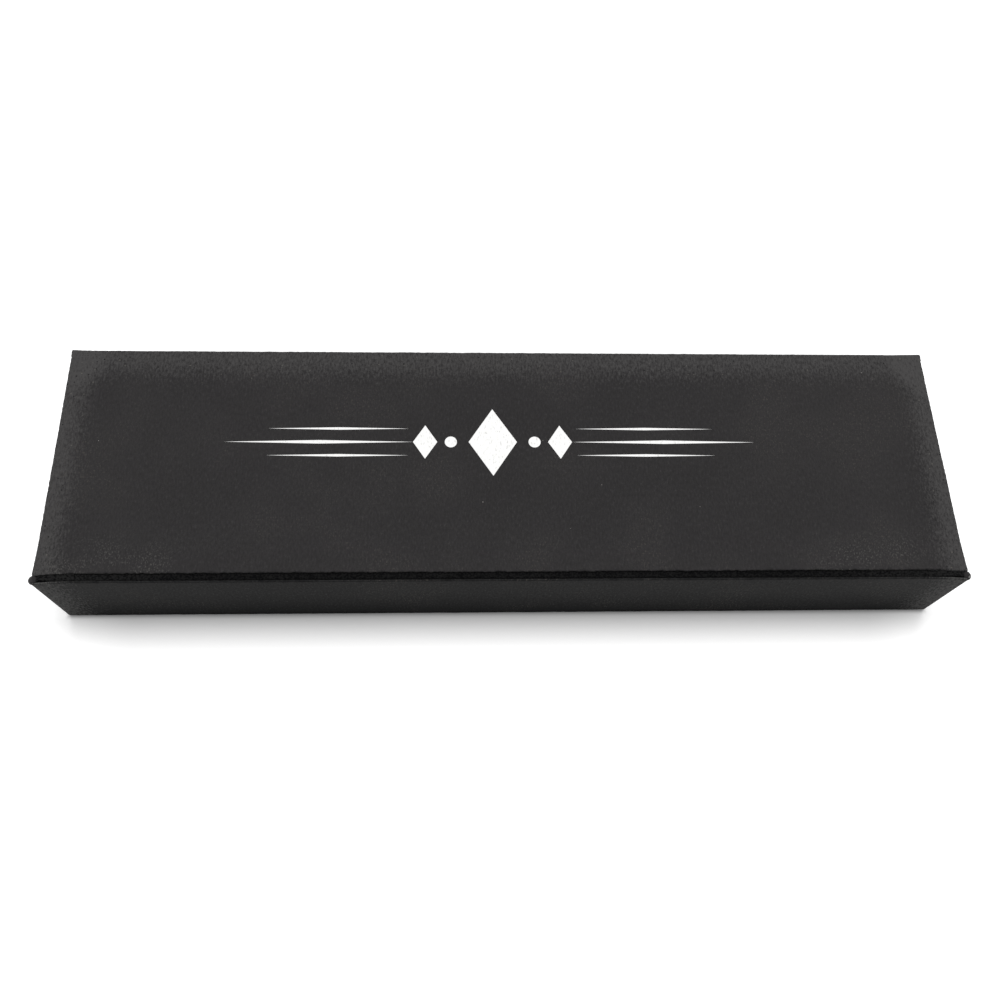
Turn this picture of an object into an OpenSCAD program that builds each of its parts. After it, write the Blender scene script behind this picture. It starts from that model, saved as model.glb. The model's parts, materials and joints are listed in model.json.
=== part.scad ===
// Flap case with a twist-action wand pen lying in its insert.
// Millimetres, +Z up. The origin is the middle of the closed case's underside, and the flap faces -Y.

/* [Case] */
// Length of the closed case
case_length = 190; // [176:1:240]
// Depth of the closed case from the flap to the spine
case_depth = 54; // [40:0.5:90]
// Height of the closed case
case_height = 22; // [19.2:0.1:40]
// Thickness of the greyboard in the case panels
board = 1.2; // [0.9:0.1:1.5]
// Thickness of the leatherette cover
cover = 0.35; // [0.2:0.05:0.5]
// Thickness of the lining paper
lining = 0.2; // [0.1:0.05:0.3]
// Border of turned-in leatherette round the lining
lining_inset = 3; // [1:0.5:7]
// Overhang of the case panels past each end of the tray
overhang = 1.5; // [0.5:0.1:3]
// Height of the flap's lower edge above the table
flap_lift = 0.4; // [0.2:0.1:2]

/* [Folds] */
// Radius of the rolled leatherette along each hinge line
fold_r = 0.4; // [0.4:0.05:0.6]
// Thickness of the leatherette web between the lid and its folds
web = 0.3; // [0.2:0.05:0.35]
// Running gap between a fold and the panel that it carries
fold_gap = 0.05; // [0.03:0.01:0.1]
// Gap between the lid's long edges and the panels that face them
hinge_play = 0.15; // [0.1:0.05:0.4]

/* [Tray] */
// Thickness of the tray's board
tray_board_t = 1.2; // [1:0.1:1.5]
// Thickness of the paper over the tray
tray_paper_t = 0.25; // [0.1:0.05:0.4]
// Gap between the tray's rim and the closed lid
rim_gap = 0.15; // [0.1:0.05:0.5]
// Gap between the tray's front and the closed flap
flap_gap = 0.2; // [0.1:0.05:0.5]

/* [Closure] */
// Radius of each magnet and keeper
magnet_r = 5; // [3:0.5:7]
// Thickness of each magnet and keeper
magnet_t = 0.8; // [0.5:0.05:0.85]
// Distance between the two magnets
magnet_spacing = 110; // [40:5:160]

/* [Insert] */
// Thickness of the flocked sheet on the foam
velvet = 0.6; // [0.3:0.1:1.2]
// Height of the insert above the pen's axis
insert_rise = 3; // [1:0.1:4]
// Gap between the insert and the tray's walls
insert_gap = 0.3; // [0.1:0.1:1]
// Gap between the pen and its channel
channel_gap = 0.25; // [0.15:0.05:0.6]
// Foam left past each end of the channel
foam_end = 4.35; // [2:0.05:12]
// Free length of the channel past each end of the pen
channel_room = 1; // [0.5:0.25:2]
// Air between the pen's handle and the closed lid
pen_headroom = 1.2; // [0.6:0.1:1.6]
// Radius of the finger notch
notch_r = 11.5; // [8:0.5:16]
// Depth of the finger notch below the pen's axis
notch_drop = 5; // [2:0.5:6]
// Distance from the notch's middle to the centre ring
notch_setback = 26; // [18:1:50]

/* [Wand] */
// Length of the nose cone
nose_len = 16; // [12:0.5:18]
// Wall of the nose cone round its hole
nose_wall = 0.4; // [0.3:0.05:0.8]
// Length of the nose cone's spigot inside the shaft
spigot_len = 6; // [4:0.5:10]
// Wall of the nose cone's spigot
spigot_wall = 0.8; // [0.6:0.05:1]
// Radius of the shaft at the nose
shaft_tip_r = 3.2; // [3:0.05:3.8]
// Radius of the shaft at the centre ring
shaft_root_r = 4.8; // [4.5:0.05:5.4]
// Number of turned grooves at the thick end of the shaft
groove_count = 3; // [0:1:6]
// Radius of the turned grooves in the shaft
groove_r = 0.4; // [0.2:0.05:0.5]
// Distance between the turned grooves
groove_pitch = 2.2; // [1.6:0.1:4]
// Length of the centre ring
ring_len = 4; // [3:0.25:5]
// Largest radius of the centre ring
ring_r = 5.7; // [5.4:0.05:6]
// Radius of the ring's rounded edge
ring_bead = 1.3; // [0.8:0.05:1.5]
// Length of the handle
handle_len = 48; // [40:0.5:52]
// Largest radius of the handle
handle_r = 6.3; // [5.8:0.05:6.5]
// Radius of the handle at its ends
handle_end_r = 4.6; // [4.3:0.05:5.2]
// Radius of the turned beads on the handle
bead_r = 1.1; // [0.6:0.05:1.3]
// Height of the beads above the handle
bead_rise = 0.6; // [0.3:0.05:0.9]
// Distance from the handle's ends to its beads
bead_inset = 5; // [2.5:0.1:8]
// Length of the ring under the pommel
end_ring_len = 3; // [2:0.25:4]
// Largest radius of the ring under the pommel
end_ring_r = 5.1; // [4.8:0.05:5.6]
// Radius of the pommel's ball
pommel_r = 5; // [4.4:0.05:5.6]
// Length of the pommel outside its ring
pommel_len = 9; // [7:0.25:10]
// Length of the pommel's spigot inside the handle
pommel_spigot = 12; // [6:0.5:16]

/* [Twist mechanism] */
// Turn of the handle that brings the refill out, in degrees
twist_angle = 180; // [120:10:270]
// Travel of the refill
travel = 5; // [3.5:0.25:6]
// Distance of the withdrawn ball behind the nose's mouth
tip_setback = 1; // [0.5:0.25:1.5]
// Length of the refill
refill_len = 67; // [60:0.5:68]
// Radius of the refill
refill_r = 1.175; // [1:0.025:1.25]
// Wall of the refill's tube
refill_wall = 0.3; // [0.2:0.05:0.4]
// Length of the refill's metal tip outside its tube
tip_len = 10; // [8:0.5:14]
// Length of the tapered point of the metal tip
point_len = 7; // [4:0.5:7.5]
// Length of the metal tip's stem inside its tube
stem_len = 5; // [3:0.5:8]
// Radius of the writing ball
ball_r = 0.4; // [0.25:0.05:0.5]
// Wall of the metal tip round the ball
ball_wall = 0.15; // [0.1:0.05:0.25]
// Length of the refill inside the slider
socket_len = 8; // [4:0.5:10]
// Radius of the slider's rod
slider_r = 1.7; // [1.6:0.05:1.8]
// Length of the slider's rod behind its pin
slider_tail = 2; // [1:0.25:3]
// Radius of the slider's pin
pin_r = 0.5; // [0.35:0.05:0.6]
// Distance of the withdrawn pin in front of the centre ring
pin_setback = 12; // [8:0.5:14]
// Wall of the rotor's sleeve
rotor_wall = 0.45; // [0.35:0.05:0.5]
// Length of the rotor's plug inside the handle
plug_len = 18; // [10:0.5:24]
// Wall of the fixed sleeve
sleeve_wall = 0.7; // [0.5:0.05:0.75]
// Solid length of the two sleeves in front of their slots
sleeve_lead = 3; // [2:0.25:6]
// Distance of the fixed sleeve's end inside the centre ring
sleeve_inset = 0.5; // [0.3:0.1:1]
// Wall of the brass tubes in the shaft and the handle
tube_wall = 0.35; // [0.25:0.05:0.4]
// Length of the brass tube in the shaft
shaft_tube_len = 32; // [28:1:44]
// Gap round parts that slide or turn
slide_fit = 0.06; // [0.03:0.01:0.1]
// Gap on each side of the pin in its slots
slot_fit = 0.12; // [0.08:0.01:0.2]
// Gap round glued and pressed parts
glue_gap = 0.03; // [0.02:0.01:0.05]
// Gap between the turning handle and the centre ring
turn_gap = 0.3; // [0.15:0.05:0.6]
// Gap round the refill in the nose's hole
nose_fit = 0.1; // [0.05:0.01:0.2]
// Gap round the slider's rod in the shaft
shaft_room = 0.3; // [0.2:0.05:0.4]

/* [Hidden] */
$fn = 64;
swell_sides = 1024;
slot_steps = 24;
eps = 0.01;

// Case: panel thicknesses, hinge lines and edges
panel = cover + board + lining;
shell = cover + board;
half_length = case_length / 2;
y_front = -case_depth / 2;
y_back = case_depth / 2;
fold_z = case_height - fold_r;
flap_fold_y = y_front + fold_r;
lid_fold_y = y_back - fold_r;
edge_z = fold_z - fold_r - fold_gap;
lid_front = y_front + panel + hinge_play;
lid_back = y_back - shell - hinge_play;
lid_under = case_height - panel;

// Tray: outer faces and the room inside
tray_half = half_length - overhang;
tray_front = y_front + panel + flap_gap;
tray_back = y_back - shell;
tray_rim = lid_under - rim_gap;
tray_wall = tray_board_t + 2 * tray_paper_t;
tray_floor = shell + tray_board_t + tray_paper_t;

// Closure: places of the magnets and the keepers
magnet_z = (flap_lift + edge_z) / 2;
pocket_r = magnet_r + glue_gap;
pocket_depth = magnet_t + glue_gap;
flap_board_inside = y_front + shell;
tray_board_front = tray_front + tray_paper_t;

// Twist mechanism: radii from the slider outwards
rotor_bore = slider_r + slide_fit;
rotor_r = rotor_bore + rotor_wall;
sleeve_bore = rotor_r + slide_fit;
sleeve_r = sleeve_bore + sleeve_wall;
tube_bore = sleeve_r + glue_gap;
tube_r = tube_bore + tube_wall;
barrel_bore = tube_r + glue_gap;
ring_bore = sleeve_r + glue_gap;
plug_r = tube_bore - glue_gap;
nose_bore = refill_r + nose_fit;
spigot_r = nose_bore + spigot_wall;
shaft_bore = slider_r + shaft_room;

// Pen: distances along its axis from the nose's mouth; the shaft takes up the length that the case leaves
reach = travel - tip_setback;
insert_half = tray_half - tray_wall - insert_gap;
stroke_len = 2 * (insert_half - foam_end - channel_room);
shaft_len = stroke_len - reach - nose_len - ring_len - turn_gap - handle_len - end_ring_len - pommel_len;
shaft_end = nose_len + shaft_len;
ring_end = shaft_end + ring_len;
handle_start = ring_end + turn_gap;
handle_end = handle_start + handle_len;
pommel_start = handle_end + end_ring_len;
pen_len = pommel_start + pommel_len;
refill_back = tip_setback + refill_len;
tube_front = tip_setback + tip_len;
slider_front = refill_back - socket_len;
pin_at = shaft_end - pin_setback;
slot_reach = pin_r + slot_fit;
slot_front = pin_at - travel - slot_reach;
slot_back = pin_at + slot_reach;
sleeve_front = slot_front - sleeve_lead;
sleeve_back = ring_end - sleeve_inset;

// Twist mechanism: the helical slot
degrees_per_mm = twist_angle / travel;
lead_per_radian = travel / (twist_angle * PI / 180);
slot_slope = atan(lead_per_radian / sleeve_bore);
slot_half_angle = slot_reach / sin(slot_slope) / sleeve_bore * 180 / PI;

// Pen: place in the case, with the writing stroke centred on the tray
pen_x = (reach - pen_len) / 2;
pen_y = (tray_front + tray_back) / 2;
pen_z = lid_under - pen_headroom - max(handle_r, ring_r, end_ring_r, pommel_r);
notch_x = pen_x + shaft_end - notch_setback;

// Insert: outline and heights
insert_front = tray_front + tray_wall + insert_gap;
insert_back = tray_back - tray_wall - insert_gap;
insert_top = pen_z + insert_rise;
foam_top = insert_top - velvet;

// Channel: half its outline along the pen, as distance and radius
channel_front = -reach - channel_room;
channel_step = shaft_end - channel_room;
channel_back = pen_len + channel_room;
front_r = max(shaft_tip_r, nose_bore + nose_wall) + channel_gap;
root_r = shaft_root_r + channel_gap;
grip_r = max(handle_r, ring_r, end_ring_r, pommel_r) + channel_gap;
CHANNEL = [
    [channel_front, front_r],
    [nose_len, front_r],
    [channel_step, root_r],
    [channel_step, grip_r],
    [channel_back, grip_r],
];

leatherette = [0.14, 0.14, 0.14];
black_paper = [0.1, 0.1, 0.1];
greyboard = [0.55, 0.52, 0.47];
brass = [0.78, 0.62, 0.3];
walnut = [0.35, 0.2, 0.11];
steel = [0.7, 0.7, 0.72];

// A block between two corners
module block(low, high) {
    translate(low)
        cube(high - low);
}

// A block that reaches equally far along X on both sides of the middle
module long_block(half, low_y, high_y, low_z, high_z) {
    block([-half, low_y, low_z], [half, high_y, high_z]);
}

// Children drawn along +Z from the nose's mouth, laid along the pen's axis
module on_pen_axis() {
    translate([pen_x, pen_y, pen_z])
        rotate([0, 90, 0])
            children();
}

// A tube on the pen's axis
module sleeve(start, end, outer, bore) {
    translate([0, 0, start])
        difference() {
            cylinder(h = end - start, r = outer);
            translate([0, 0, -eps])
                cylinder(h = end - start + 2 * eps, r = bore);
        }
}

// A turned ring whose edge is rounded by a bead
module turned_ring(start, length, outer, bead, bore) {
    translate([0, 0, start])
        rotate_extrude()
            difference() {
                union() {
                    square([outer - bead / 2, length]);
                    intersection() {
                        translate([outer - bead, length / 2])
                            circle(r = bead);
                        square([outer, length]);
                    }
                }
                translate([-eps, -eps])
                    square([bore + eps, length + 2 * eps]);
            }
}

// A disc in each of the two closure places, from a face towards -Y or +Y
module closure_discs(face_y, radius, depth, direction) {
    for (side = [-1, 1])
        translate([side * magnet_spacing / 2, face_y, magnet_z])
            rotate([-90 * direction, 0, 0])
                cylinder(h = depth, r = radius);
}

// The base: a board wrapped from below

module base_inside() {
    long_block(half_length - cover, tray_front + cover, tray_back, cover, shell);
}

module base_board() {
    color(greyboard)
        base_inside();
}

module base_cover() {
    color(leatherette)
        union() {
            difference() {
                long_block(half_length, tray_front, tray_back, 0, shell);
                base_inside();
            }
            for (side = [0, 1])
                mirror([side, 0, 0])
                    block([tray_half, tray_front, shell], [half_length, tray_back, shell + lining]);
        }
}

// The spine: a board wrapped from behind

module spine_inside() {
    long_block(half_length - cover, y_back - shell, y_back - cover, cover, edge_z - cover);
}

module spine_board() {
    color(greyboard)
        spine_inside();
}

module spine_cover() {
    color(leatherette)
        union() {
            difference() {
                long_block(half_length, y_back - shell, y_back, 0, edge_z);
                spine_inside();
            }
            for (side = [0, 1])
                mirror([side, 0, 0])
                    block(
                        [tray_half, tray_back - lining, shell + lining],
                        [half_length, tray_back, tray_rim]
                    );
        }
}

// The tray: a board box covered with paper inside and out

module tray_walls() {
    difference() {
        long_block(
            tray_half - tray_paper_t,
            tray_board_front, tray_back - tray_paper_t,
            shell, tray_rim - tray_paper_t
        );
        long_block(
            tray_half - tray_paper_t - tray_board_t,
            tray_board_front + tray_board_t, tray_back - tray_paper_t - tray_board_t,
            shell + tray_board_t, tray_rim
        );
    }
}

module tray_board() {
    color(greyboard)
        difference() {
            tray_walls();
            closure_discs(tray_board_front, pocket_r, pocket_depth, 1);
        }
}

module tray_paper() {
    color(black_paper)
        difference() {
            long_block(tray_half, tray_front, tray_back, shell, tray_rim);
            long_block(
                tray_half - tray_wall,
                tray_front + tray_wall, tray_back - tray_wall,
                tray_floor, tray_rim + eps
            );
            tray_walls();
        }
}

module keeper_discs() {
    color(steel)
        closure_discs(tray_board_front, magnet_r, magnet_t, 1);
}

// The insert: foam with a flocked sheet on top

module channel_plan() {
    points = concat(
        [for (point = CHANNEL) [point.x, -point.y]],
        [for (i = [len(CHANNEL) - 1:-1:0]) CHANNEL[i]]
    );
    translate([pen_x, pen_y])
        polygon(points);
}

module channel_round() {
    points = concat(
        [[0, channel_front]],
        [for (point = CHANNEL) [point.y, point.x]],
        [[0, channel_back]]
    );
    on_pen_axis()
        rotate_extrude()
            polygon(points);
}

module insert_plan() {
    difference() {
        translate([-insert_half, insert_front])
            square([2 * insert_half, insert_back - insert_front]);
        channel_plan();
        translate([notch_x, pen_y])
            circle(r = notch_r);
    }
}

module insert_foam() {
    notch_floor = pen_z - notch_drop;
    color(black_paper)
        difference() {
            long_block(insert_half, insert_front, insert_back, tray_floor, foam_top);
            channel_round();
            translate([0, 0, pen_z])
                linear_extrude(height = foam_top - pen_z + eps)
                    channel_plan();
            translate([notch_x, pen_y, notch_floor])
                cylinder(h = foam_top - notch_floor + eps, r = notch_r);
        }
}

module insert_velvet() {
    color("black")
        translate([0, 0, foam_top])
            linear_extrude(height = velvet)
                insert_plan();
}

// The lid: a board wrapped from above and lined below, with a fold along each long edge.
// The web is flush with the lid at the back and sunk into a crease at the front.

module lid_inside() {
    long_block(
        half_length - cover,
        lid_front + cover, lid_back - cover,
        lid_under + lining, case_height - cover
    );
}

module lid_lining_sheet(low_z) {
    long_block(
        half_length - lining_inset,
        lid_front + lining_inset, lid_back - lining_inset,
        low_z, lid_under + lining
    );
}

module lid_board() {
    color(greyboard)
        lid_inside();
}

module lid_cover() {
    color(leatherette)
        difference() {
            long_block(half_length, lid_front, lid_back, lid_under, case_height);
            lid_inside();
            lid_lining_sheet(lid_under - eps);
        }
}

module lid_lining() {
    color(black_paper)
        lid_lining_sheet(lid_under);
}

module rolled_fold(fold_y, edge_y, web_top) {
    long_block(half_length, min(fold_y, edge_y), max(fold_y, edge_y), web_top - web, web_top);
    translate([-half_length, fold_y, fold_z])
        rotate([0, 90, 0])
            cylinder(h = case_length, r = fold_r);
}

module lid_fold() {
    color(leatherette)
        rolled_fold(lid_fold_y, lid_back, case_height);
}

module flap_fold() {
    color(leatherette)
        rolled_fold(flap_fold_y, lid_front, fold_z);
}

// The flap: a board with two magnets, wrapped from the front and lined behind

module flap_inside() {
    long_block(
        half_length - cover,
        y_front + cover, flap_board_inside,
        flap_lift + cover, edge_z - cover
    );
}

module flap_lining_sheet(high_y) {
    long_block(
        half_length - lining_inset,
        flap_board_inside, high_y,
        flap_lift + lining_inset, edge_z - lining_inset
    );
}

module flap_board() {
    color(greyboard)
        difference() {
            flap_inside();
            closure_discs(flap_board_inside, pocket_r, pocket_depth, -1);
        }
}

module flap_cover() {
    color(leatherette)
        difference() {
            long_block(half_length, y_front, y_front + panel, flap_lift, edge_z);
            flap_inside();
            flap_lining_sheet(y_front + panel + eps);
        }
}

module flap_lining() {
    color(black_paper)
        flap_lining_sheet(y_front + panel);
}

module flap_magnets() {
    color(steel)
        closure_discs(flap_board_inside, magnet_r, magnet_t, -1);
}

// The wand's fixed half

module nose_cone() {
    color(brass)
        on_pen_axis()
            difference() {
                union() {
                    cylinder(h = nose_len, r1 = nose_bore + nose_wall, r2 = shaft_tip_r);
                    translate([0, 0, nose_len])
                        cylinder(h = spigot_len, r = spigot_r - glue_gap);
                }
                translate([0, 0, -eps])
                    cylinder(h = nose_len + spigot_len + 2 * eps, r = nose_bore);
            }
}

module shaft_barrel() {
    color(walnut)
        on_pen_axis()
            difference() {
                translate([0, 0, nose_len])
                    cylinder(h = shaft_len, r1 = shaft_tip_r, r2 = shaft_root_r);
                translate([0, 0, nose_len - eps])
                    cylinder(h = shaft_len + 2 * eps, r = shaft_bore);
                translate([0, 0, nose_len - eps])
                    cylinder(h = spigot_len + glue_gap + eps, r = spigot_r);
                translate([0, 0, shaft_end - shaft_tube_len - glue_gap])
                    cylinder(h = shaft_tube_len + glue_gap + eps, r = barrel_bore);
                for (i = [1:groove_count])
                    translate([0, 0, shaft_end - i * groove_pitch])
                        rotate_extrude()
                            translate([shaft_root_r, 0])
                                circle(r = groove_r);
            }
}

module shaft_tube() {
    color(brass)
        on_pen_axis()
            sleeve(shaft_end - shaft_tube_len, shaft_end, tube_r, tube_bore);
}

module centre_ring() {
    color(brass)
        on_pen_axis()
            turned_ring(shaft_end, ring_len, ring_r, ring_bead, ring_bore);
}

module twist_body() {
    slot_len = slot_back - slot_front;
    slot_turn = slot_len * degrees_per_mm;
    cutter_r = 2 * sleeve_r;
    cutter = [
        [0, 0],
        [cutter_r * cos(slot_half_angle), -cutter_r * sin(slot_half_angle)],
        [cutter_r, 0],
        [cutter_r * cos(slot_half_angle), cutter_r * sin(slot_half_angle)],
    ];
    color(brass)
        on_pen_axis()
            difference() {
                sleeve(sleeve_front, sleeve_back, sleeve_r, sleeve_bore);
                translate([0, 0, slot_front])
                    rotate((pin_at - slot_front) * degrees_per_mm)
                        linear_extrude(
                            height = slot_len, twist = slot_turn,
                            slices = slot_steps, segments = len(cutter)
                        )
                            polygon(cutter);
            }
}

// The wand's turning half

module handle_profile() {
    half = handle_len / 2;
    rise = handle_r - handle_end_r;
    swell_r = (half * half + rise * rise) / (2 * rise);
    bead_from_middle = half - bead_inset;
    radius_at_bead = handle_r - swell_r + sqrt(swell_r * swell_r - bead_from_middle * bead_from_middle);
    intersection() {
        translate([handle_r - swell_r, half])
            circle(r = swell_r, $fn = swell_sides);
        square([handle_r + eps, handle_len]);
    }
    for (side = [-1, 1])
        translate([radius_at_bead + bead_rise - bead_r, half + side * bead_from_middle])
            circle(r = bead_r);
}

module handle_barrel() {
    color(walnut)
        on_pen_axis()
            translate([0, 0, handle_start])
                rotate_extrude()
                    difference() {
                        handle_profile();
                        translate([-eps, -eps])
                            square([barrel_bore + eps, handle_len + 2 * eps]);
                    }
}

module handle_tube() {
    color(brass)
        on_pen_axis()
            sleeve(handle_start, handle_end, tube_r, tube_bore);
}

module handle_ring() {
    color(brass)
        on_pen_axis()
            turned_ring(handle_end, end_ring_len, end_ring_r, end_ring_len / 2, plug_r + glue_gap);
}

module pommel() {
    color(walnut)
        on_pen_axis() {
            translate([0, 0, pommel_start])
                rotate_extrude()
                    intersection() {
                        translate([0, pommel_len - pommel_r])
                            circle(r = pommel_r);
                        square([pommel_r, pommel_len]);
                    }
            translate([0, 0, handle_end - pommel_spigot])
                cylinder(h = pommel_spigot + end_ring_len + pommel_len - pommel_r, r = plug_r);
        }
}

module twist_rotor() {
    color(steel)
        on_pen_axis()
            difference() {
                union() {
                    sleeve(sleeve_front, handle_start, rotor_r, rotor_bore);
                    sleeve(handle_start, handle_start + plug_len, plug_r, rotor_bore);
                }
                block([0, -slot_reach, slot_front], [2 * rotor_r, slot_reach, slot_back]);
            }
}

// The refill

module refill_slider() {
    rod_end = pin_at + pin_r + slider_tail;
    color(steel)
        on_pen_axis()
            difference() {
                union() {
                    translate([0, 0, slider_front])
                        cylinder(h = rod_end - slider_front, r = slider_r);
                    translate([0, 0, pin_at])
                        rotate([0, 90, 0])
                            cylinder(h = sleeve_r - slide_fit, r = pin_r);
                }
                translate([0, 0, slider_front - eps])
                    cylinder(h = socket_len + eps, r = refill_r + glue_gap);
            }
}

module refill_tube() {
    color(steel)
        on_pen_axis()
            sleeve(tube_front, refill_back, refill_r, refill_r - refill_wall);
}

module refill_tip() {
    mouth = tip_setback + ball_r;
    shoulder = mouth + point_len;
    color(brass)
        on_pen_axis()
            difference() {
                union() {
                    translate([0, 0, mouth])
                        cylinder(h = point_len, r1 = ball_r + ball_wall, r2 = refill_r);
                    translate([0, 0, shoulder])
                        cylinder(h = tube_front - shoulder, r = refill_r);
                    translate([0, 0, tube_front])
                        cylinder(h = stem_len, r = refill_r - refill_wall - glue_gap);
                }
                translate([0, 0, mouth])
                    sphere(r = ball_r + glue_gap);
            }
}

module refill_ball() {
    color(steel)
        on_pen_axis()
            translate([0, 0, tip_setback + ball_r])
                sphere(r = ball_r);
}

base_board();
base_cover();
spine_board();
spine_cover();
tray_board();
tray_paper();
keeper_discs();
insert_foam();
insert_velvet();
lid_board();
lid_cover();
lid_lining();
lid_fold();
flap_fold();
flap_board();
flap_cover();
flap_lining();
flap_magnets();
nose_cone();
shaft_barrel();
shaft_tube();
centre_ring();
twist_body();
handle_barrel();
handle_tube();
handle_ring();
pommel();
twist_rotor();
refill_slider();
refill_tube();
refill_tip();
refill_ball();
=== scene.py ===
"""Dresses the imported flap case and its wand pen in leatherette, paper, flock, foam, wood and brass."""

import json
import logging
import math
from collections.abc import Callable, Iterable, Iterator, Sequence
from dataclasses import dataclass, field
from enum import Enum, IntEnum
from functools import cache, partial, reduce

import bmesh
import bpy
from mathutils import Euler, Matrix, Vector, noise


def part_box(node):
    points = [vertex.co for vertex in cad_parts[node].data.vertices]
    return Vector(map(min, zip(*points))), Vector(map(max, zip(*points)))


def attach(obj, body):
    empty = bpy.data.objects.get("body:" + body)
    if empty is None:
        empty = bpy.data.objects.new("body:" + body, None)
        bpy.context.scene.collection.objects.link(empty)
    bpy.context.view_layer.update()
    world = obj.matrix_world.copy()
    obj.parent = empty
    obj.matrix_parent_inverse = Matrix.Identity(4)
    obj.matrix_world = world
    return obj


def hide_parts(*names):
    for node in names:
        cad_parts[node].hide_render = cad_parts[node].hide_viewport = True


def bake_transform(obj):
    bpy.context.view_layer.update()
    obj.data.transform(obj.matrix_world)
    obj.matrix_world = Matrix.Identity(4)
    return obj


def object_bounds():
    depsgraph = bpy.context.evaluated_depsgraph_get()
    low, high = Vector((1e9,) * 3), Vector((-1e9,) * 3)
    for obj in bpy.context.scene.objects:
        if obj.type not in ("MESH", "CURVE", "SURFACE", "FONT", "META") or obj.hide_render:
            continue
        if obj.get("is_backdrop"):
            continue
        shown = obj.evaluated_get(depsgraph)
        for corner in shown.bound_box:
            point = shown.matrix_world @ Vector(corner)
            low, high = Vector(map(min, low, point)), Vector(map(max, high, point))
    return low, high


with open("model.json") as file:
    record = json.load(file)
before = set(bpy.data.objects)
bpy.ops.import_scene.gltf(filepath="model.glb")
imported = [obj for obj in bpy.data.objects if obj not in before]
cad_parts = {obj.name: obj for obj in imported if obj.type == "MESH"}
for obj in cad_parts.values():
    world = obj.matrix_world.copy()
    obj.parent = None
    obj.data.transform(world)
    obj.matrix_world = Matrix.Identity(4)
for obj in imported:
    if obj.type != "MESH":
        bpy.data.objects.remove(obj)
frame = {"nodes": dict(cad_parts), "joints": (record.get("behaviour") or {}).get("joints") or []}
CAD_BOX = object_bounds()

LOG = logging.getLogger("flap_case")
MM = 0.001
NEAR = 1e-6  # Places this close count as level.
TOUCHING = 1e-7  # Corners this close count as one.
SLIVER = 0.002 * MM  # Edges shorter than this are cleared away after a cut.
LOOSELY = 1.01  # Takes in what lies on the far side of a rounding.
NOISE_PLANE = 0.37  # The plane of the noise that edges wander along.
Triple = tuple[float, float, float]
Colour = Triple
Point = tuple[float, float]
Socket = bpy.types.NodeSocket
Piece = bpy.types.Object
Edge = bmesh.types.BMEdge
Face = bmesh.types.BMFace
Vert = bmesh.types.BMVert


class Body(str, Enum):
    """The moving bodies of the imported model."""

    CASE = "case"
    LID = "lid"
    FLAP = "flap"


class Slot(str, Enum):
    """The record's material slots."""

    LEATHERETTE = "leatherette"
    FOAM = "foam"
    VELVET = "velvet"


class Layer(IntEnum):
    """The further finishes of a piece, by their place in its list."""

    SECOND = 1
    THIRD = 2


@dataclass(frozen=True)
class Noise:
    """A noise pattern: features to the metre, finer layers, scale on each axis, and the range that counts."""

    scale: float
    detail: float = 2
    stretch: Triple = (1, 1, 1)
    span: Point | None = None


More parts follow.
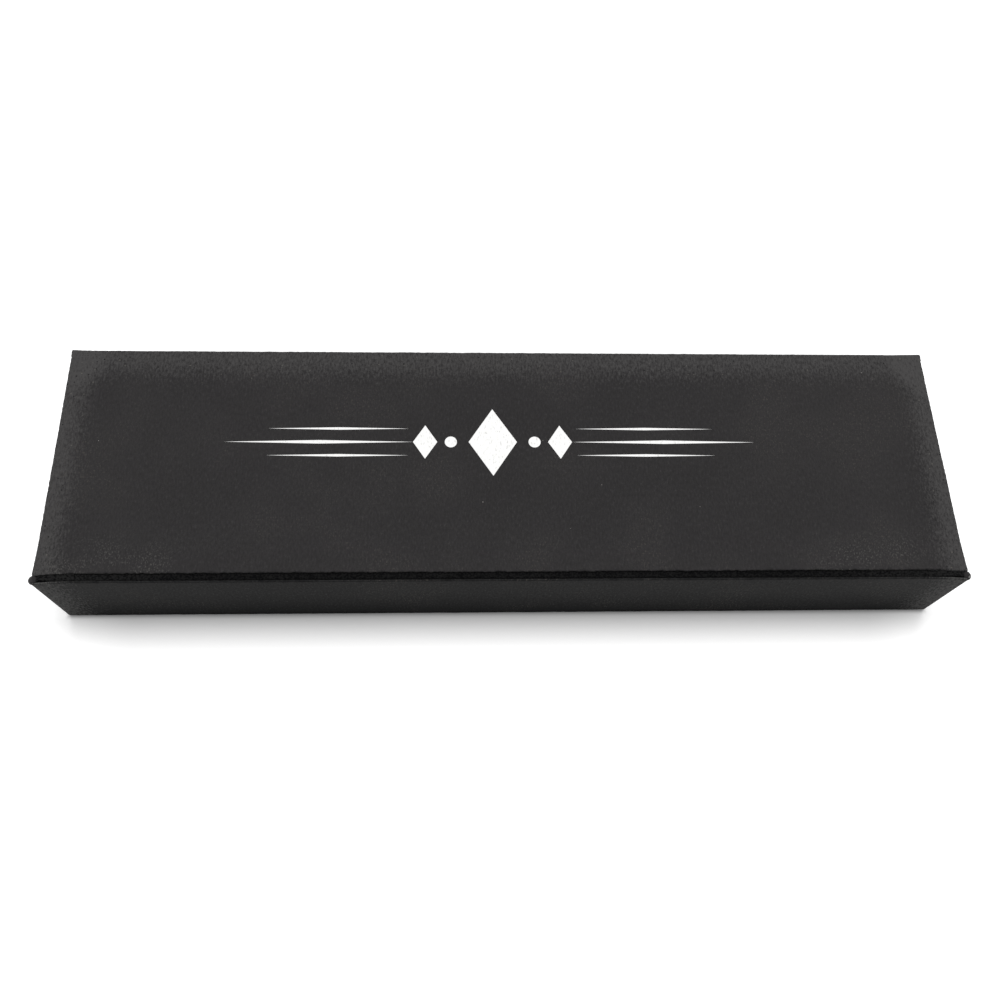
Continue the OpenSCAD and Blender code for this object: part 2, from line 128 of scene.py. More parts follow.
class Recipe:
    """A material or a sky being mixed: its node tree and the shader at the end of it."""

    COLOURS = (6, 7)  # The places of a Mix node's colours, whose names its other inputs share.
    MIXED = 2  # The place of the colour it gives.

    def __init__(self, owner: bpy.types.Material | bpy.types.World, shader: str = "Principled BSDF") -> None:
        """Starts on the node tree that Blender gives a new material or world.

        Args:
            owner: The material or the world.
            shader: The name of the tree's own shader.
        """
        owner.use_nodes = True
        self.tree = owner.node_tree
        self.shader = self.tree.nodes[shader]

    def feed(self, target: Socket, value: object) -> None:
        """Links a socket to an input, or sets a constant on it.

        Args:
            target: The input socket.
            value: An output socket, a number or a colour.
        """
        if isinstance(value, Socket):
            self.tree.links.new(value, target)
        elif target.type == "RGBA":
            target.default_value = (*value, 1.0)
        else:
            target.default_value = value

    def add(self, kind: str, inputs: dict[str | int, object], output: str | int, **settings: str) -> Socket:
        """Adds a node.

        Args:
            kind: The end of the node's Blender type, after ShaderNode.
            inputs: What its inputs get, by their name or place.
            output: The name or place of the output that is wanted.
            **settings: Properties of the node.

        Returns:
            The output.
        """
        made = self.tree.nodes.new("ShaderNode" + kind)
        for key, value in settings.items():
            setattr(made, key, value)
        for key, value in inputs.items():
            self.feed(made.inputs[key], value)
        return made.outputs[output]

    def set(self, **inputs: object) -> None:
        """Feeds the shader's inputs, which are named with _ for spaces."""
        for key, value in inputs.items():
            self.feed(self.shader.inputs[key.replace("_", " ")], value)

    def place(self, stretch: Triple = (1, 1, 1), shift: Triple = (0, 0, 0)) -> Socket:
        """Gives the piece's own coordinates, stretched on each axis and shifted in metres."""
        own = self.add("TexCoord", {}, "Object")
        return self.add("Mapping", {"Vector": own, "Scale": stretch, "Location": shift}, "Vector")

    def axis(self, index: int) -> Socket:
        """Gives one of the piece's own coordinates, in metres."""
        return self.add("SeparateXYZ", {0: self.place()}, index)

    def off(self, index: int, middle: float = 0) -> Socket:
        """Gives the distance from a middle plane across an axis, in metres."""
        return self.sum("ABSOLUTE", self.sum("SUBTRACT", self.axis(index), middle))

    def ends(self, span: Point, low: float = 0, high: float = 1) -> Socket:
        """Gives a value that changes towards both ends on X, over a span of distances from the middle."""
        return self.ramp(self.off(0), *span, low, high)

    def grain(self, pattern: Noise) -> Socket:
        """Adds a noise pattern.

        Args:
            pattern: The pattern.

        Returns:
            The noise from 0 to 1, with the range that counts spread over that.
        """
        inputs = {"Vector": self.place(pattern.stretch), "Scale": pattern.scale, "Detail": pattern.detail}
        value = self.add("TexNoise", inputs, "Fac")
        return self.ramp(value, *pattern.span) if pattern.span else value

    def cells(self, scale: float, output: str = "Distance") -> Socket:
        """Gives the distance to the nearest of so many points to the metre, or that point's random colour."""
        return self.add("TexVoronoi", {"Vector": self.place(), "Scale": scale}, output)

    def sum(self, operation: str, first: object, second: object = 0.0) -> Socket:
        """Gives the result of one of Blender's calculations with sockets or numbers."""
        return self.add("Math", {0: first, 1: second}, 0, operation=operation)

    def times(self, first: object, second: object) -> Socket:
        """Gives the product of two sockets or numbers."""
        return self.sum("MULTIPLY", first, second)

    def weigh(self, *terms: tuple[Socket, float]) -> Socket:
        """Gives the sum of some values, each times its weight."""
        return reduce(partial(self.sum, "ADD"), [self.times(*term) for term in terms])

    def ramp(self, value: Socket, start: float, end: float, low: float = 0, high: float = 1) -> Socket:
        """Maps a value smoothly from the range of start and end to that of low and high."""
        spans = {"From Min": start, "From Max": end, "To Min": low, "To Max": high}
        return self.add("MapRange", {"Value": value, **spans}, "Result", interpolation_type="SMOOTHSTEP")

    def tint(self, share: Socket, first: object, second: object) -> Socket:
        """Mixes two colours by the share of the second one."""
        inputs = {0: share, self.COLOURS[0]: first, self.COLOURS[1]: second}
        return self.add("Mix", inputs, self.MIXED, data_type="RGBA")

    def emboss(self, height: Socket, depth: float, strength: float = 1.0) -> None:
        """Gives the surface a relief with a depth in metres."""
        inputs = {"Height": height, "Distance": depth, "Strength": strength}
        self.set(Normal=self.add("Bump", inputs, "Normal"))

    def seen(self) -> Socket:
        """Gives 1 on camera, glossy and transmission rays, and 0 on the rays that carry light."""
        rays = [self.add("LightPath", {}, f"Is {kind} Ray") for kind in ("Camera", "Glossy", "Transmission")]
        return reduce(partial(self.sum, "MAXIMUM"), rays)


@dataclass(frozen=True)
class Finish:
    """A surface that pieces can wear. It is mixed once, at its first use."""

    name: str

    @cache
    def material(self) -> bpy.types.Material:
        """Gives the finish as a Blender material.

        Returns:
            The material.
        """
        made = bpy.data.materials.new(self.name)
        self.mix(Recipe(made))
        return made

    def mix(self, recipe: Recipe) -> None:
        """Mixes the finish; each kind of finish has its own way."""
        raise NotImplementedError

    def dress(self, *names: str) -> None:
        """Puts the finish on CAD nodes.

        Args:
            *names: The nodes' names.
        """
        for name in names:
            node = frame["nodes"][name]
            if not node.material_slots:
                node.data.materials.append(None)
            for slot in node.material_slots:
                slot.material = self.material()


@dataclass(frozen=True)
class Grained(Finish):
    """A surface that one pattern colours, roughens and embosses."""

    low: Colour
    high: Colour
    tones: Point
    rough: Point
    gloss: float
    relief: float
    grain: Noise | None = None
    relief_share: float = 1.0
    rough_span: Point = (0.3, 0.7)

    def pattern(self, recipe: Recipe) -> Socket:
        """Gives the pattern from 0 to 1, which is plain noise where a surface has no other."""
        return recipe.grain(self.grain)

    def colour(self, recipe: Recipe, pattern: Socket) -> Socket:
        """Mixes the colours of the pattern's low and high places."""
        return recipe.tint(recipe.ramp(pattern, *self.tones), self.low, self.high)

    def mix(self, recipe: Recipe) -> None:
        """Mixes colour, roughness and relief.

        Args:
            recipe: The material being mixed.
        """
        pattern = self.pattern(recipe)
        recipe.set(
            Base_Color=self.colour(recipe, pattern),
            Roughness=recipe.ramp(pattern, *self.rough_span, *self.rough),
            Specular_IOR_Level=self.gloss,
        )
        recipe.emboss(pattern, self.relief, self.relief_share)


@dataclass(frozen=True)
class Mitre:
    """The seams at the corners of a panel's inner side, where the cover's turned-in edges meet."""

    half: Point
    across: int
    middle: float
    depth: int
    inner_side: Point
    width: float = 0.16 * MM

    def inside(self, recipe: Recipe, low: float = 0, high: float = 1) -> Socket:
        """Gives a value that changes from the panel's outer side to its inner side."""
        return recipe.ramp(recipe.axis(self.depth), *self.inner_side, low, high)

    def seam(self, recipe: Recipe) -> Socket:
        """Gives the seams.

        Args:
            recipe: The material being mixed.

        Returns:
            1 on a seam and 0 elsewhere.
        """
        along = recipe.sum("SUBTRACT", self.half[0], recipe.off(0))
        across = recipe.sum("SUBTRACT", self.half[1], recipe.off(self.across, self.middle))
        apart = recipe.sum("ABSOLUTE", recipe.sum("SUBTRACT", along, across))
        return recipe.times(recipe.ramp(apart, 0, self.width, 1, 0), self.inside(recipe))


@dataclass(frozen=True)
class Leatherette(Grained):
    """Matt black leatherette with a fine drawn grain. It is paler towards some edges from wear and painted
    sheen, and can carry painted shade and painted glints.
    """

    low: Colour = (0.0208, 0.0198, 0.0202)
    high: Colour = (0.029, 0.0276, 0.0282)
    tones: Point = (0.42, 0.92)
    rough: Point = (0.78, 0.62)
    gloss: float = 0.035
    relief: float = 14e-6
    rubbed_and_sheen: Colour = (0.0548, 0.0532, 0.053)
    shade_pits_and_seams: Colour = (0.008, 0.008, 0.0083)
    warm: Colour = (0.048, 0.0445, 0.041)
    painted_glint: Colour = (0.068, 0.066, 0.063)
    speck: Colour = (0.085, 0.081, 0.074)
    dust: Colour = (0.22, 0.21, 0.2)
    lines: Noise = Noise(2600, 3, (1, 0.4, 0.4))
    line_share: float = 0.6
    pebble: Noise = Noise(5200)
    patches: Noise = Noise(60, 3)
    patch_share: float = 0.35
    handled_x: Point = (0.03, 0.09)
    handled: float = 0.08
    # Painted shade: spans over which the surface darkens towards the foot, the crest and the front edge.
    foot: Point | None = None
    crest: Point | None = None
    front: Point | None = None
    stray: Noise = Noise(800, 3)
    stray_middle: float = 0.5
    ragged: float = 1.6 * MM
    rubbed_and_sheen_x: Point = (0.0855, 0.0945)
    rubbed_and_sheen_y: Point | None = None
    rubbed_and_sheen_back: float = 0.86
    rubbed_and_sheen_most: float = 1.15
    rubbed_and_sheen_share: float = 0.3
    rubbed_and_sheen_tones: Point = (0.56, 0.92)
    sheltered: float = 0.2
    dark_dots: Point = (620, 0.1)
    pale_dots: Point = (480, 0.085)
    warm_spots: Noise = Noise(3900, 2, (1, 0.5, 0.5), (0.56, 0.72))
    warm_patches: Point = (0.45, 0.65)
    # Painted glints: pale pebbles near the front corners stand in for highlights.
    glint_x: Point = (0.045, 0.078)
    glint_y: Point | None = None
    glint_pebble: Noise = Noise(3700, 1, (1, 0.6, 0.6), (0.54, 0.7))
    glint_patches: Noise = Noise(110, span=(0.36, 0.62))
    dust_dots: Point = (210, 0.02)
    dust_missed: float = 0.62
    mitre: Mitre | None = None

    def pattern(self, recipe: Recipe) -> Socket:
        """Gives drawn lines and the pebble between them."""
        lines = (recipe.grain(self.lines), self.line_share)
        return recipe.weigh(lines, (recipe.grain(self.pebble), 1 - self.line_share))

    def rubbing_and_sheen(self, recipe: Recipe) -> Socket:
        """Gives the share of rubbed surface and of painted sheen at the edges.

        Args:
            recipe: The material being mixed.

        Returns:
            About 1 at an edge with wear and painted sheen, more at a corner, little on the inner side and 0
            elsewhere.
        """
        share = recipe.ends(self.rubbed_and_sheen_x)
        if self.rubbed_and_sheen_y:
            back = recipe.ramp(recipe.axis(1), *self.rubbed_and_sheen_y, 0, self.rubbed_and_sheen_back)
            share = recipe.sum("MINIMUM", recipe.sum("ADD", share, back), self.rubbed_and_sheen_most)
        if self.mitre:
            share = recipe.times(share, self.mitre.inside(recipe, 1, self.sheltered))
        return share

    def painted_glints(self, recipe: Recipe) -> Socket:
        """Gives painted glints: pebbles painted pale as highlights towards the front corners, as 1 on such a
        pebble.
        """
        near = recipe.times(recipe.ends(self.glint_x), recipe.ramp(recipe.axis(1), *self.glint_y))
        return reduce(recipe.times, (near, recipe.grain(self.glint_pebble), recipe.grain(self.glint_patches)))

    def dots(self, recipe: Recipe, dots: Point) -> Socket:
        """Gives scattered dots, so many to the metre and so wide, as 1 on a dot."""
        return recipe.sum("LESS_THAN", recipe.cells(dots[0]), dots[1])

    def layers(self, recipe: Recipe, pattern: Socket, patches: Socket) -> Iterator[tuple[Socket, Colour]]:
        """Gives what lies on the plain leatherette, from the lowest layer up: painted shade, wear with
        painted sheen, dots, painted glints, dust and seams.

        Args:
            recipe: The material being mixed.
            pattern: The grain.
            patches: The broad patches.

        Yields:
            A layer's share and its colour.
        """
        stray = recipe.sum("SUBTRACT", recipe.grain(self.stray), self.stray_middle)
        # Painted shade: darker towards the foot, the crest and the front edge, where shade falls.
        for axis, edge in ((2, self.foot), (2, self.crest), (1, self.front)):
            if edge:
                place = recipe.weigh((recipe.axis(axis), 1), (stray, self.ragged))
                yield recipe.ramp(place, *edge), self.shade_pits_and_seams
        rubbed_and_sheen = self.rubbing_and_sheen(recipe)
        worn_and_sheen = recipe.weigh((pattern, 1), (rubbed_and_sheen, self.rubbed_and_sheen_share))
        # Wear and painted sheen: the grain turns paler towards the edges.
        yield recipe.ramp(worn_and_sheen, *self.rubbed_and_sheen_tones), self.rubbed_and_sheen
        yield recipe.times(self.dots(recipe, self.dark_dots), rubbed_and_sheen), self.shade_pits_and_seams
        yield recipe.times(self.dots(recipe, self.pale_dots), rubbed_and_sheen), self.speck
        yield recipe.times(recipe.grain(self.warm_spots), recipe.ramp(patches, *self.warm_patches)), self.warm
        # Painted highlights on pebbles near the front corners.
        if self.glint_y:
            yield self.painted_glints(recipe), self.painted_glint
        kept = recipe.sum("GREATER_THAN", recipe.cells(self.dust_dots[0], "Color"), self.dust_missed)
        yield recipe.times(self.dots(recipe, self.dust_dots), kept), self.dust
        if self.mitre:
            yield self.mitre.seam(recipe), self.shade_pits_and_seams

    def colour(self, recipe: Recipe, pattern: Socket) -> Socket:
        """Mixes the plain leatherette and what lies on it.

        Args:
            recipe: The material being mixed.
            pattern: The grain.

        Returns:
            The colour.
        """
        patches = recipe.grain(self.patches)
        handled = recipe.ends(self.handled_x, 0, self.handled)
        colour = super().colour(recipe, recipe.weigh((pattern, 1), (handled, 1), (patches, self.patch_share)))
        for share, layer in self.layers(recipe, pattern, patches):
            colour = recipe.tint(share, colour, layer)
        return colour


@dataclass(frozen=True)
class Crease(Grained):
    """Leatherette in a fold, pitted, and dark with painted shade of the fold, a little lighter where it is
    double.
    """

    # Painted shade: these colours are far darker than the leatherette, standing in for the fold's shade.
    low: Colour = (0.0004, 0.0004, 0.0006)
    high: Colour = (0.0054, 0.0053, 0.0053)
    tones: Point = (0.42, 0.6)
    rough: Point = (0.7, 0.55)
    gloss: float = 0.03
    relief: float = 70e-6
    grain: Noise = Noise(900, 3, (1, 0.3, 0.3))
    pits: Noise = Noise(2700)
    double: Colour = (0.0115, 0.0114, 0.0114)
    double_x: Point = (0.058, 0.094)
    double_tones: Point = (0.34, 0.62)

    def colour(self, recipe: Recipe, pattern: Socket) -> Socket:
        """Mixes the pitted painted shade and its lighter ends.

        Args:
            recipe: The material being mixed.
            pattern: The short wrinkles across the fold, which have no colour of their own.

        Returns:
            The colour.
        """
        pits = recipe.grain(self.pits)
        double = recipe.times(recipe.ends(self.double_x), recipe.ramp(pits, *self.double_tones))
        return recipe.tint(double, super().colour(recipe, pits), self.double)


@dataclass(frozen=True)
class Paper(Grained):
    """Paper or board with visible fibres and flecks."""

    low: Colour = (0.016, 0.016, 0.0165)
    high: Colour = (0.03, 0.03, 0.0305)
    tones: Point = (0.35, 0.65)
    rough: Point = (0.92, 0.76)
    gloss: float = 0.2
    relief: float = 25e-6
    fibre: float = 2600
    drawn: float = 0.2
    fleck: Colour = (0.05, 0.05, 0.05)
    fleck_size: float = 3
    fleck_span: Point = (0.66, 0.74)

    def pattern(self, recipe: Recipe) -> Socket:
        """Gives crossed fibres."""
        ways = ((self.drawn, 1, 1), (1, self.drawn, self.drawn))
        return recipe.weigh(*((recipe.grain(Noise(self.fibre, 3, way)), 1 / len(ways)) for way in ways))

    def colour(self, recipe: Recipe, pattern: Socket) -> Socket:
        """Mixes fibres and flecks."""
        flecks = recipe.grain(Noise(self.fibre / self.fleck_size, 4, span=self.fleck_span))
        return recipe.tint(flecks, super().colour(recipe, pattern), self.fleck)


@dataclass(frozen=True)
class Flock(Grained):
    """Short black pile that lies in different directions and has a soft sheen."""

    low: Colour = (0.007, 0.007, 0.0085)
    high: Colour = (0.02, 0.02, 0.023)
    tones: Point = (0.36, 0.64)
    rough: Point = (1, 0.85)
    gloss: float = 0.1
    relief: float = 120e-6
    relief_share: float = 0.8
    grain: Noise = Noise(6500)
    brushed: Noise = Noise(45, 3, (0.5, 1, 1))
    brushed_share: float = 0.5
    sheen: Colour = (0.5, 0.5, 0.54)
    sheen_weight: float = 0.35
    sheen_rough: float = 0.45

    def colour(self, recipe: Recipe, pattern: Socket) -> Socket:
        """Mixes pile and brushed patches."""
        brushed = (recipe.grain(self.brushed), self.brushed_share)
        return super().colour(recipe, recipe.weigh((pattern, 1 - self.brushed_share), brushed))

    def mix(self, recipe: Recipe) -> None:
        """Mixes the pile and its sheen."""
        super().mix(recipe)
        recipe.set(Sheen_Tint=self.sheen, Sheen_Weight=self.sheen_weight, Sheen_Roughness=self.sheen_rough)


@dataclass(frozen=True)
class Foam(Grained):
    """Cut black foam with small open cells."""

    low: Colour = (0.006, 0.006, 0.0065)
    high: Colour = (0.03, 0.03, 0.032)
    tones: Point = (0.15, 0.7)
    rough: Point = (1, 0.85)
    gloss: float = 0.1
    relief: float = 180e-6
    rough_span: Point = (0, 0.7)
    cell: float = 1900

    def pattern(self, recipe: Recipe) -> Socket:
        """Gives the cells and their walls."""
        return recipe.cells(self.cell)


@dataclass(frozen=True)
class Metal(Finish):
    """Turned or drawn metal with fine tool marks along X and patches of tarnish."""

    bright: Colour = (0.78, 0.55, 0.24)
    dull: Colour = (0.7, 0.47, 0.19)
    rough: Point = (0.22, 0.3)
    tarnish: Noise = Noise(260, 4, span=(0.4, 0.68))
    marks: Noise = Noise(9000, 2, (1, 0.02, 0.02))
    mark_depth: float = 4e-6
    mark_share: float = 0.6

    def mix(self, recipe: Recipe) -> None:
        """Mixes tarnish and tool marks.

        Args:
            recipe: The material being mixed.
        """
        tarnish = recipe.grain(self.tarnish)
        recipe.set(
            Base_Color=recipe.tint(tarnish, self.bright, self.dull),
            Metallic=1.0,
            Roughness=recipe.ramp(tarnish, 0, 1, *self.rough),
        )
        recipe.emboss(recipe.grain(self.marks), self.mark_depth, self.mark_share)


@dataclass(frozen=True)
class TurnedWood(Finish):
    """Oiled walnut turned on a lathe, with the growth rings' centre outside the piece."""

    early: Colour = (0.17, 0.075, 0.032)
    late: Colour = (0.05, 0.02, 0.009)
    tones: Point = (0.1, 1)
    ring_stretch: Triple = (0.16, 1, 1)
    ring_centre: Triple = (0, 0.006, -0.0265)
    ring_scale: float = 190
    ring_waver: float = 4
    ring_detail: float = 3
    ring_finer: float = 1.4
    ring_share: float = 0.6
    streaks: Noise = Noise(900, 4, (0.06, 1, 1))
    streak_share: float = 0.5
    streak_rough: tuple[float, ...] = (0.3, 0.7, 0.34, 0.5)
    pores: Noise = Noise(3200, 2, (0.045, 1, 1), (0.62, 0.7))
    pore: Colour = (0.018, 0.008, 0.004)
    pore_depth: float = 40e-6
    pore_share: float = 0.7
    oil: float = 0.25
    oil_rough: float = 0.22

    def mix(self, recipe: Recipe) -> None:
        """Mixes growth rings, streaks, pores and oil.

        Args:
            recipe: The material being mixed.
        """
        inputs = {
            "Vector": recipe.place(self.ring_stretch, self.ring_centre), "Scale": self.ring_scale,
            "Distortion": self.ring_waver, "Detail": self.ring_detail, "Detail Scale": self.ring_finer,
        }
        kind = {"wave_type": "RINGS", "rings_direction": "X", "wave_profile": "SIN"}
        rings = recipe.add("TexWave", inputs, "Fac", **kind)
        streaks = recipe.grain(self.streaks)
        tone = recipe.weigh((rings, self.ring_share), (streaks, self.streak_share))
        colour = recipe.tint(recipe.ramp(tone, *self.tones), self.early, self.late)
        pores = recipe.grain(self.pores)
        recipe.set(
            Base_Color=recipe.tint(pores, colour, self.pore),
            Roughness=recipe.ramp(streaks, *self.streak_rough),
            Coat_Weight=self.oil,
            Coat_Roughness=self.oil_rough,
        )
        recipe.emboss(recipe.sum("SUBTRACT", 1.0, pores), self.pore_depth, self.pore_share)


@dataclass(frozen=True)
class WhiteFloor(Finish):
    """White floor that keeps the case's shadow, glows white beyond the lamp's reach, glows as painted light
    beyond the case's ends and has a painted contact shadow along its foot.
    """

    white: Colour = (0.8, 0.8, 0.8)
    glow: Point = (0.22, 1.0)
    reach: Point = (0.22, 0.6)
    end_glow: float = 0.2
    end_reach: Point = (0.08, 0.1)
    case_half: Point = (0.095, 0.027)
    painted_contact_shadow: Point = (-0.3 * MM, 1.0 * MM)

    def mix(self, recipe: Recipe) -> None:
        """Mixes matt white and a glow that only seen rays get, taken away along the case's foot as a painted
        contact shadow.

        Args:
            recipe: The material being mixed.
        """
        away = recipe.add("VectorMath", {0: recipe.place()}, "Value", operation="LENGTH")
        far = recipe.ramp(away, *self.reach, *self.glow)
        # Painted light: more glow beyond the case's ends washes its shadow out there.
        ends = recipe.ends(self.end_reach, 0, self.end_glow)
        # Painted contact shadow: no glow next to the case's footprint.
        beyond = [recipe.sum("SUBTRACT", recipe.off(axis), self.case_half[axis]) for axis in (0, 1)]
        clear = recipe.ramp(recipe.sum("MAXIMUM", *beyond), *self.painted_contact_shadow)
        glow = recipe.times(recipe.sum("ADD", far, ends), clear)
        recipe.set(
            Base_Color=self.white, Roughness=1.0, Specular_IOR_Level=0.0, Emission_Color=(1, 1, 1),
            Emission_Strength=recipe.times(recipe.seen(), glow),
        )


# front gives painted shade along the lid's front edge into the fold; glint_y gives painted glints near the
# front corners.
LID_SKIN = Leatherette(
    "lid_leatherette", rubbed_and_sheen_y=(0.0155, 0.0252), front=(-0.0246, -0.0257), glint_y=(-0.013, -0.024),
    mitre=Mitre((0.095, 0.0252), 1, 0.0001, 2, (0.0207, 0.0205)),
)
# A slightly darker copy of the lid's leatherette, as painted shade on the upright flap.
FLAP_SKIN = Leatherette(
    "flap_leatherette", low=(0.0195, 0.0193, 0.0194), high=(0.027, 0.0268, 0.0268),
    rubbed_and_sheen=(0.076, 0.075, 0.0735), shade_pits_and_seams=(0.0055, 0.0055, 0.0058),
    # foot and crest give painted shade towards the flap's lower edge and into the fold.
    rubbed_and_sheen_x=(0.083, 0.0955), foot=(0.0175, -0.0015), crest=(0.0211, 0.0226),
    mitre=Mitre((0.095, 0.010375), 2, 0.010775, 1, (-0.0257, -0.0255)),
)
EAR_SKIN = Leatherette("ear_leatherette", rubbed_and_sheen=(0.085, 0.083, 0.0815), rubbed_and_sheen_x=(0.0943, 0.0962))
# Painted highlight: a pale, glossy finish for the curled edge.
CURL_HIGHLIGHT = Leatherette("curled_edge_painted_highlight", rubbed_and_sheen=(0.26, 0.255, 0.25), gloss=0.4)
SHELL_SKIN = Leatherette("shell_leatherette")
CREASE_SHADE = Crease("crease_painted_shade")
# Painted shade on the lid's front edge face, which lies in the fold's shade.
LID_EDGE_SHADE = Crease("lid_edge_painted_shade", low=(0.004, 0.004, 0.0042), high=(0.015, 0.0148, 0.0148))
BLACK_PAPER = Paper("black_paper")
GREYBOARD = Paper(
    "greyboard", low=(0.3, 0.28, 0.245), high=(0.44, 0.41, 0.36), relief=40e-6,
    fibre=1500, fleck=(0.2, 0.19, 0.17),
)
FLOCK = Flock("black_flock")
FOAM = Foam("cut_foam")
BRASS = Metal("turned_brass")
STEEL = Metal("drawn_steel", bright=(0.62, 0.62, 0.63), dull=(0.5, 0.5, 0.51), rough=(0.26, 0.38))
NICKEL = Metal("nickel_plate", bright=(0.68, 0.66, 0.62), dull=(0.58, 0.56, 0.52), rough=(0.18, 0.3))
WALNUT = TurnedWood("oiled_walnut")
PRINT = Grained(
    "white_print", low=(0.8, 0.8, 0.79), high=(0.55, 0.55, 0.54), tones=(0.58, 0.72), rough=(0.5, 0.7),
    gloss=0.3, relief=20e-6, grain=Noise(4200, 3, (1, 0.35, 1)),
)
FLOOR = WhiteFloor("white_floor")


class Shaper:
    """A mesh being shaped with bmesh operators, and the piece it becomes."""

    SHARP = math.radians(38)
    ROUND_FACES = 3
    TURN_FACES = 72
    FACING = 0.99
    STRAIGHT = 0.999

    def __init__(self) -> None:
        """Starts an empty mesh."""
        self.bm = bmesh.new()

    def round_edges(self, edges: Iterable[Edge], radius: float) -> None:
        """Rounds edges with a radius in metres."""
        bmesh.ops.bevel(
            self.bm, geom=list(edges), offset=radius, offset_type="OFFSET", affect="EDGES",
            segments=self.ROUND_FACES, profile=0.5, material=-1, clamp_overlap=True,
        )

    def block(self, low: Vector, high: Vector) -> None:
        """Adds a block between its lowest and its highest corner."""
        place = Matrix.LocRotScale((low + high) / 2, None, high - low)
        bmesh.ops.create_cube(self.bm, size=1.0, matrix=place)

    def extrude(self, faces: Sequence[Face], way: Vector) -> None:
        """Extrudes faces in a direction and over its length."""
        grown = bmesh.ops.extrude_face_region(self.bm, geom=list(faces))["geom"]
        bmesh.ops.translate(self.bm, vec=way, verts=[part for part in grown if isinstance(part, Vert)])

    def draw(self, outline: Sequence[Triple], way: Vector) -> None:
        """Draws a flat outline out into a solid.

        Args:
            outline: Its corners.
            way: The direction and distance.
        """
        face = self.bm.faces.new([self.bm.verts.new(corner) for corner in outline])
        self.extrude([face], way)
        bmesh.ops.recalc_face_normals(self.bm, faces=self.bm.faces)

    def divide(self, axis: int, rows: int, where: Callable[[Vector], bool] = lambda middle: True) -> None:
        """Divides the long edges that run along an axis.

        Args:
            axis: The axis's index.
            rows: Stretches that each edge gets.
            where: Tells from an edge's middle whether it is divided.
        """
        chosen = []
        for edge in self.bm.edges:
            first, second = (vert.co for vert in edge.verts)
            along = abs(second[axis] - first[axis])
            if along > max(MM, self.STRAIGHT * edge.calc_length()) and where((first + second) / 2):
                chosen.append(edge)
        bmesh.ops.subdivide_edges(self.bm, edges=chosen, cuts=rows - 1)

    def turn(self, profile: Sequence[Point], axis_y: float, axis_z: float) -> None:
        """Turns a profile about an axis along X.

        Args:
            profile: Its corners as X and radius.
            axis_y: The axis's place on Y.
            axis_z: The axis's height.
        """
        verts = [self.bm.verts.new((x, axis_y, axis_z + radius)) for x, radius in profile]
        edges = [self.bm.edges.new(pair) for pair in zip(verts, verts[1:])]
        bmesh.ops.spin(
            self.bm, geom=verts + edges, cent=(0, axis_y, axis_z), axis=(1, 0, 0),
            angle=2 * math.pi, steps=self.TURN_FACES, use_merge=True,
        )

    def slice(self, stations: Iterable[float]) -> None:
        """Cuts a ring of edges round the mesh at each of some places on X."""
        for station in stations:
            bmesh.ops.bisect_plane(
                self.bm, geom=[*self.bm.verts, *self.bm.edges, *self.bm.faces],
                plane_co=(station, 0, 0), plane_no=(1, 0, 0), dist=TOUCHING,
            )

    def recess(self, faces: Iterable[Face], border: float, depth: float) -> None:
        """Sinks the middle of faces.

        Args:
            faces: The faces.
            border: The width that stays.
            depth: How far the rest sinks.
        """
        sunk = list(faces)
        way = sunk[0].normal * -depth
        bmesh.ops.inset_region(self.bm, faces=sunk, thickness=border, use_even_offset=True)
        self.extrude(sunk, way)
        bmesh.ops.delete(self.bm, geom=sunk, context="FACES")

    def facing(self, direction: Vector) -> list[Face]:
        """Gives the faces that look one way."""
        self.bm.normal_update()
        return [face for face in self.bm.faces if face.normal.dot(direction) > self.FACING]

    def paint(self, layer: Layer, chosen: Callable[[Vector, Vector], bool]) -> None:
        """Gives some faces another finish of the piece.

        Args:
            layer: The finish.
            chosen: Tells from a face's middle and normal whether it is one of them.
        """
        self.bm.normal_update()
        for face in self.bm.faces:
            if chosen(face.calc_center_median(), face.normal):
                face.material_index = layer

    def piece(self, name: str, *finishes: Finish) -> Piece:
        """Closes the mesh and makes it an object at the origin.

        Args:
            name: The piece's name.
            *finishes: Its finishes, the main one first.

        Returns:
            The object.
        """
        bmesh.ops.remove_doubles(self.bm, verts=self.bm.verts, dist=TOUCHING)
        bmesh.ops.recalc_face_normals(self.bm, faces=self.bm.faces)
        mesh = bpy.data.meshes.new(name)
        self.bm.to_mesh(mesh)
        self.bm.free()
        made = bpy.data.objects.new(name, mesh)
        bpy.context.scene.collection.objects.link(made)
        for finish in finishes:
            mesh.materials.append(finish.material())
        smooth_out(made)
        return made


def smooth_out(piece: Piece) -> None:
    """Shades a piece smoothly between its sharp edges, with flat faces kept flat.

    Args:
        piece: The piece.
    """
    piece.data.shade_smooth()
    piece.data.set_sharp_from_angle(angle=Shaper.SHARP)
    weighted = piece.modifiers.new("flat_faces", "WEIGHTED_NORMAL")
    weighted.keep_sharp = True


def cut_out(piece: Piece, cutters: Sequence[Piece]) -> None:
    """Cuts shapes out of a piece for good, clears away slivers and removes the cutters.

    Args:
        piece: The piece.
        cutters: The shapes.
    """
    piece.modifiers.clear()
    for cutter in cutters:
        cut = piece.modifiers.new("cut", "BOOLEAN")
        cut.object, cut.operation, cut.solver = cutter, "DIFFERENCE", "EXACT"
    view = bpy.context.evaluated_depsgraph_get()
    mesh = bpy.data.meshes.new_from_object(piece.evaluated_get(view))
    piece.modifiers.clear()
    bm = bmesh.new()
    bm.from_mesh(mesh)
    bmesh.ops.dissolve_degenerate(bm, dist=SLIVER, edges=bm.edges)
    bm.to_mesh(mesh)
    bm.free()
    old, piece.data = piece.data, mesh
    mesh.name = piece.name
    bpy.data.meshes.remove(old)
    for cutter in cutters:
        bpy.data.objects.remove(cutter)


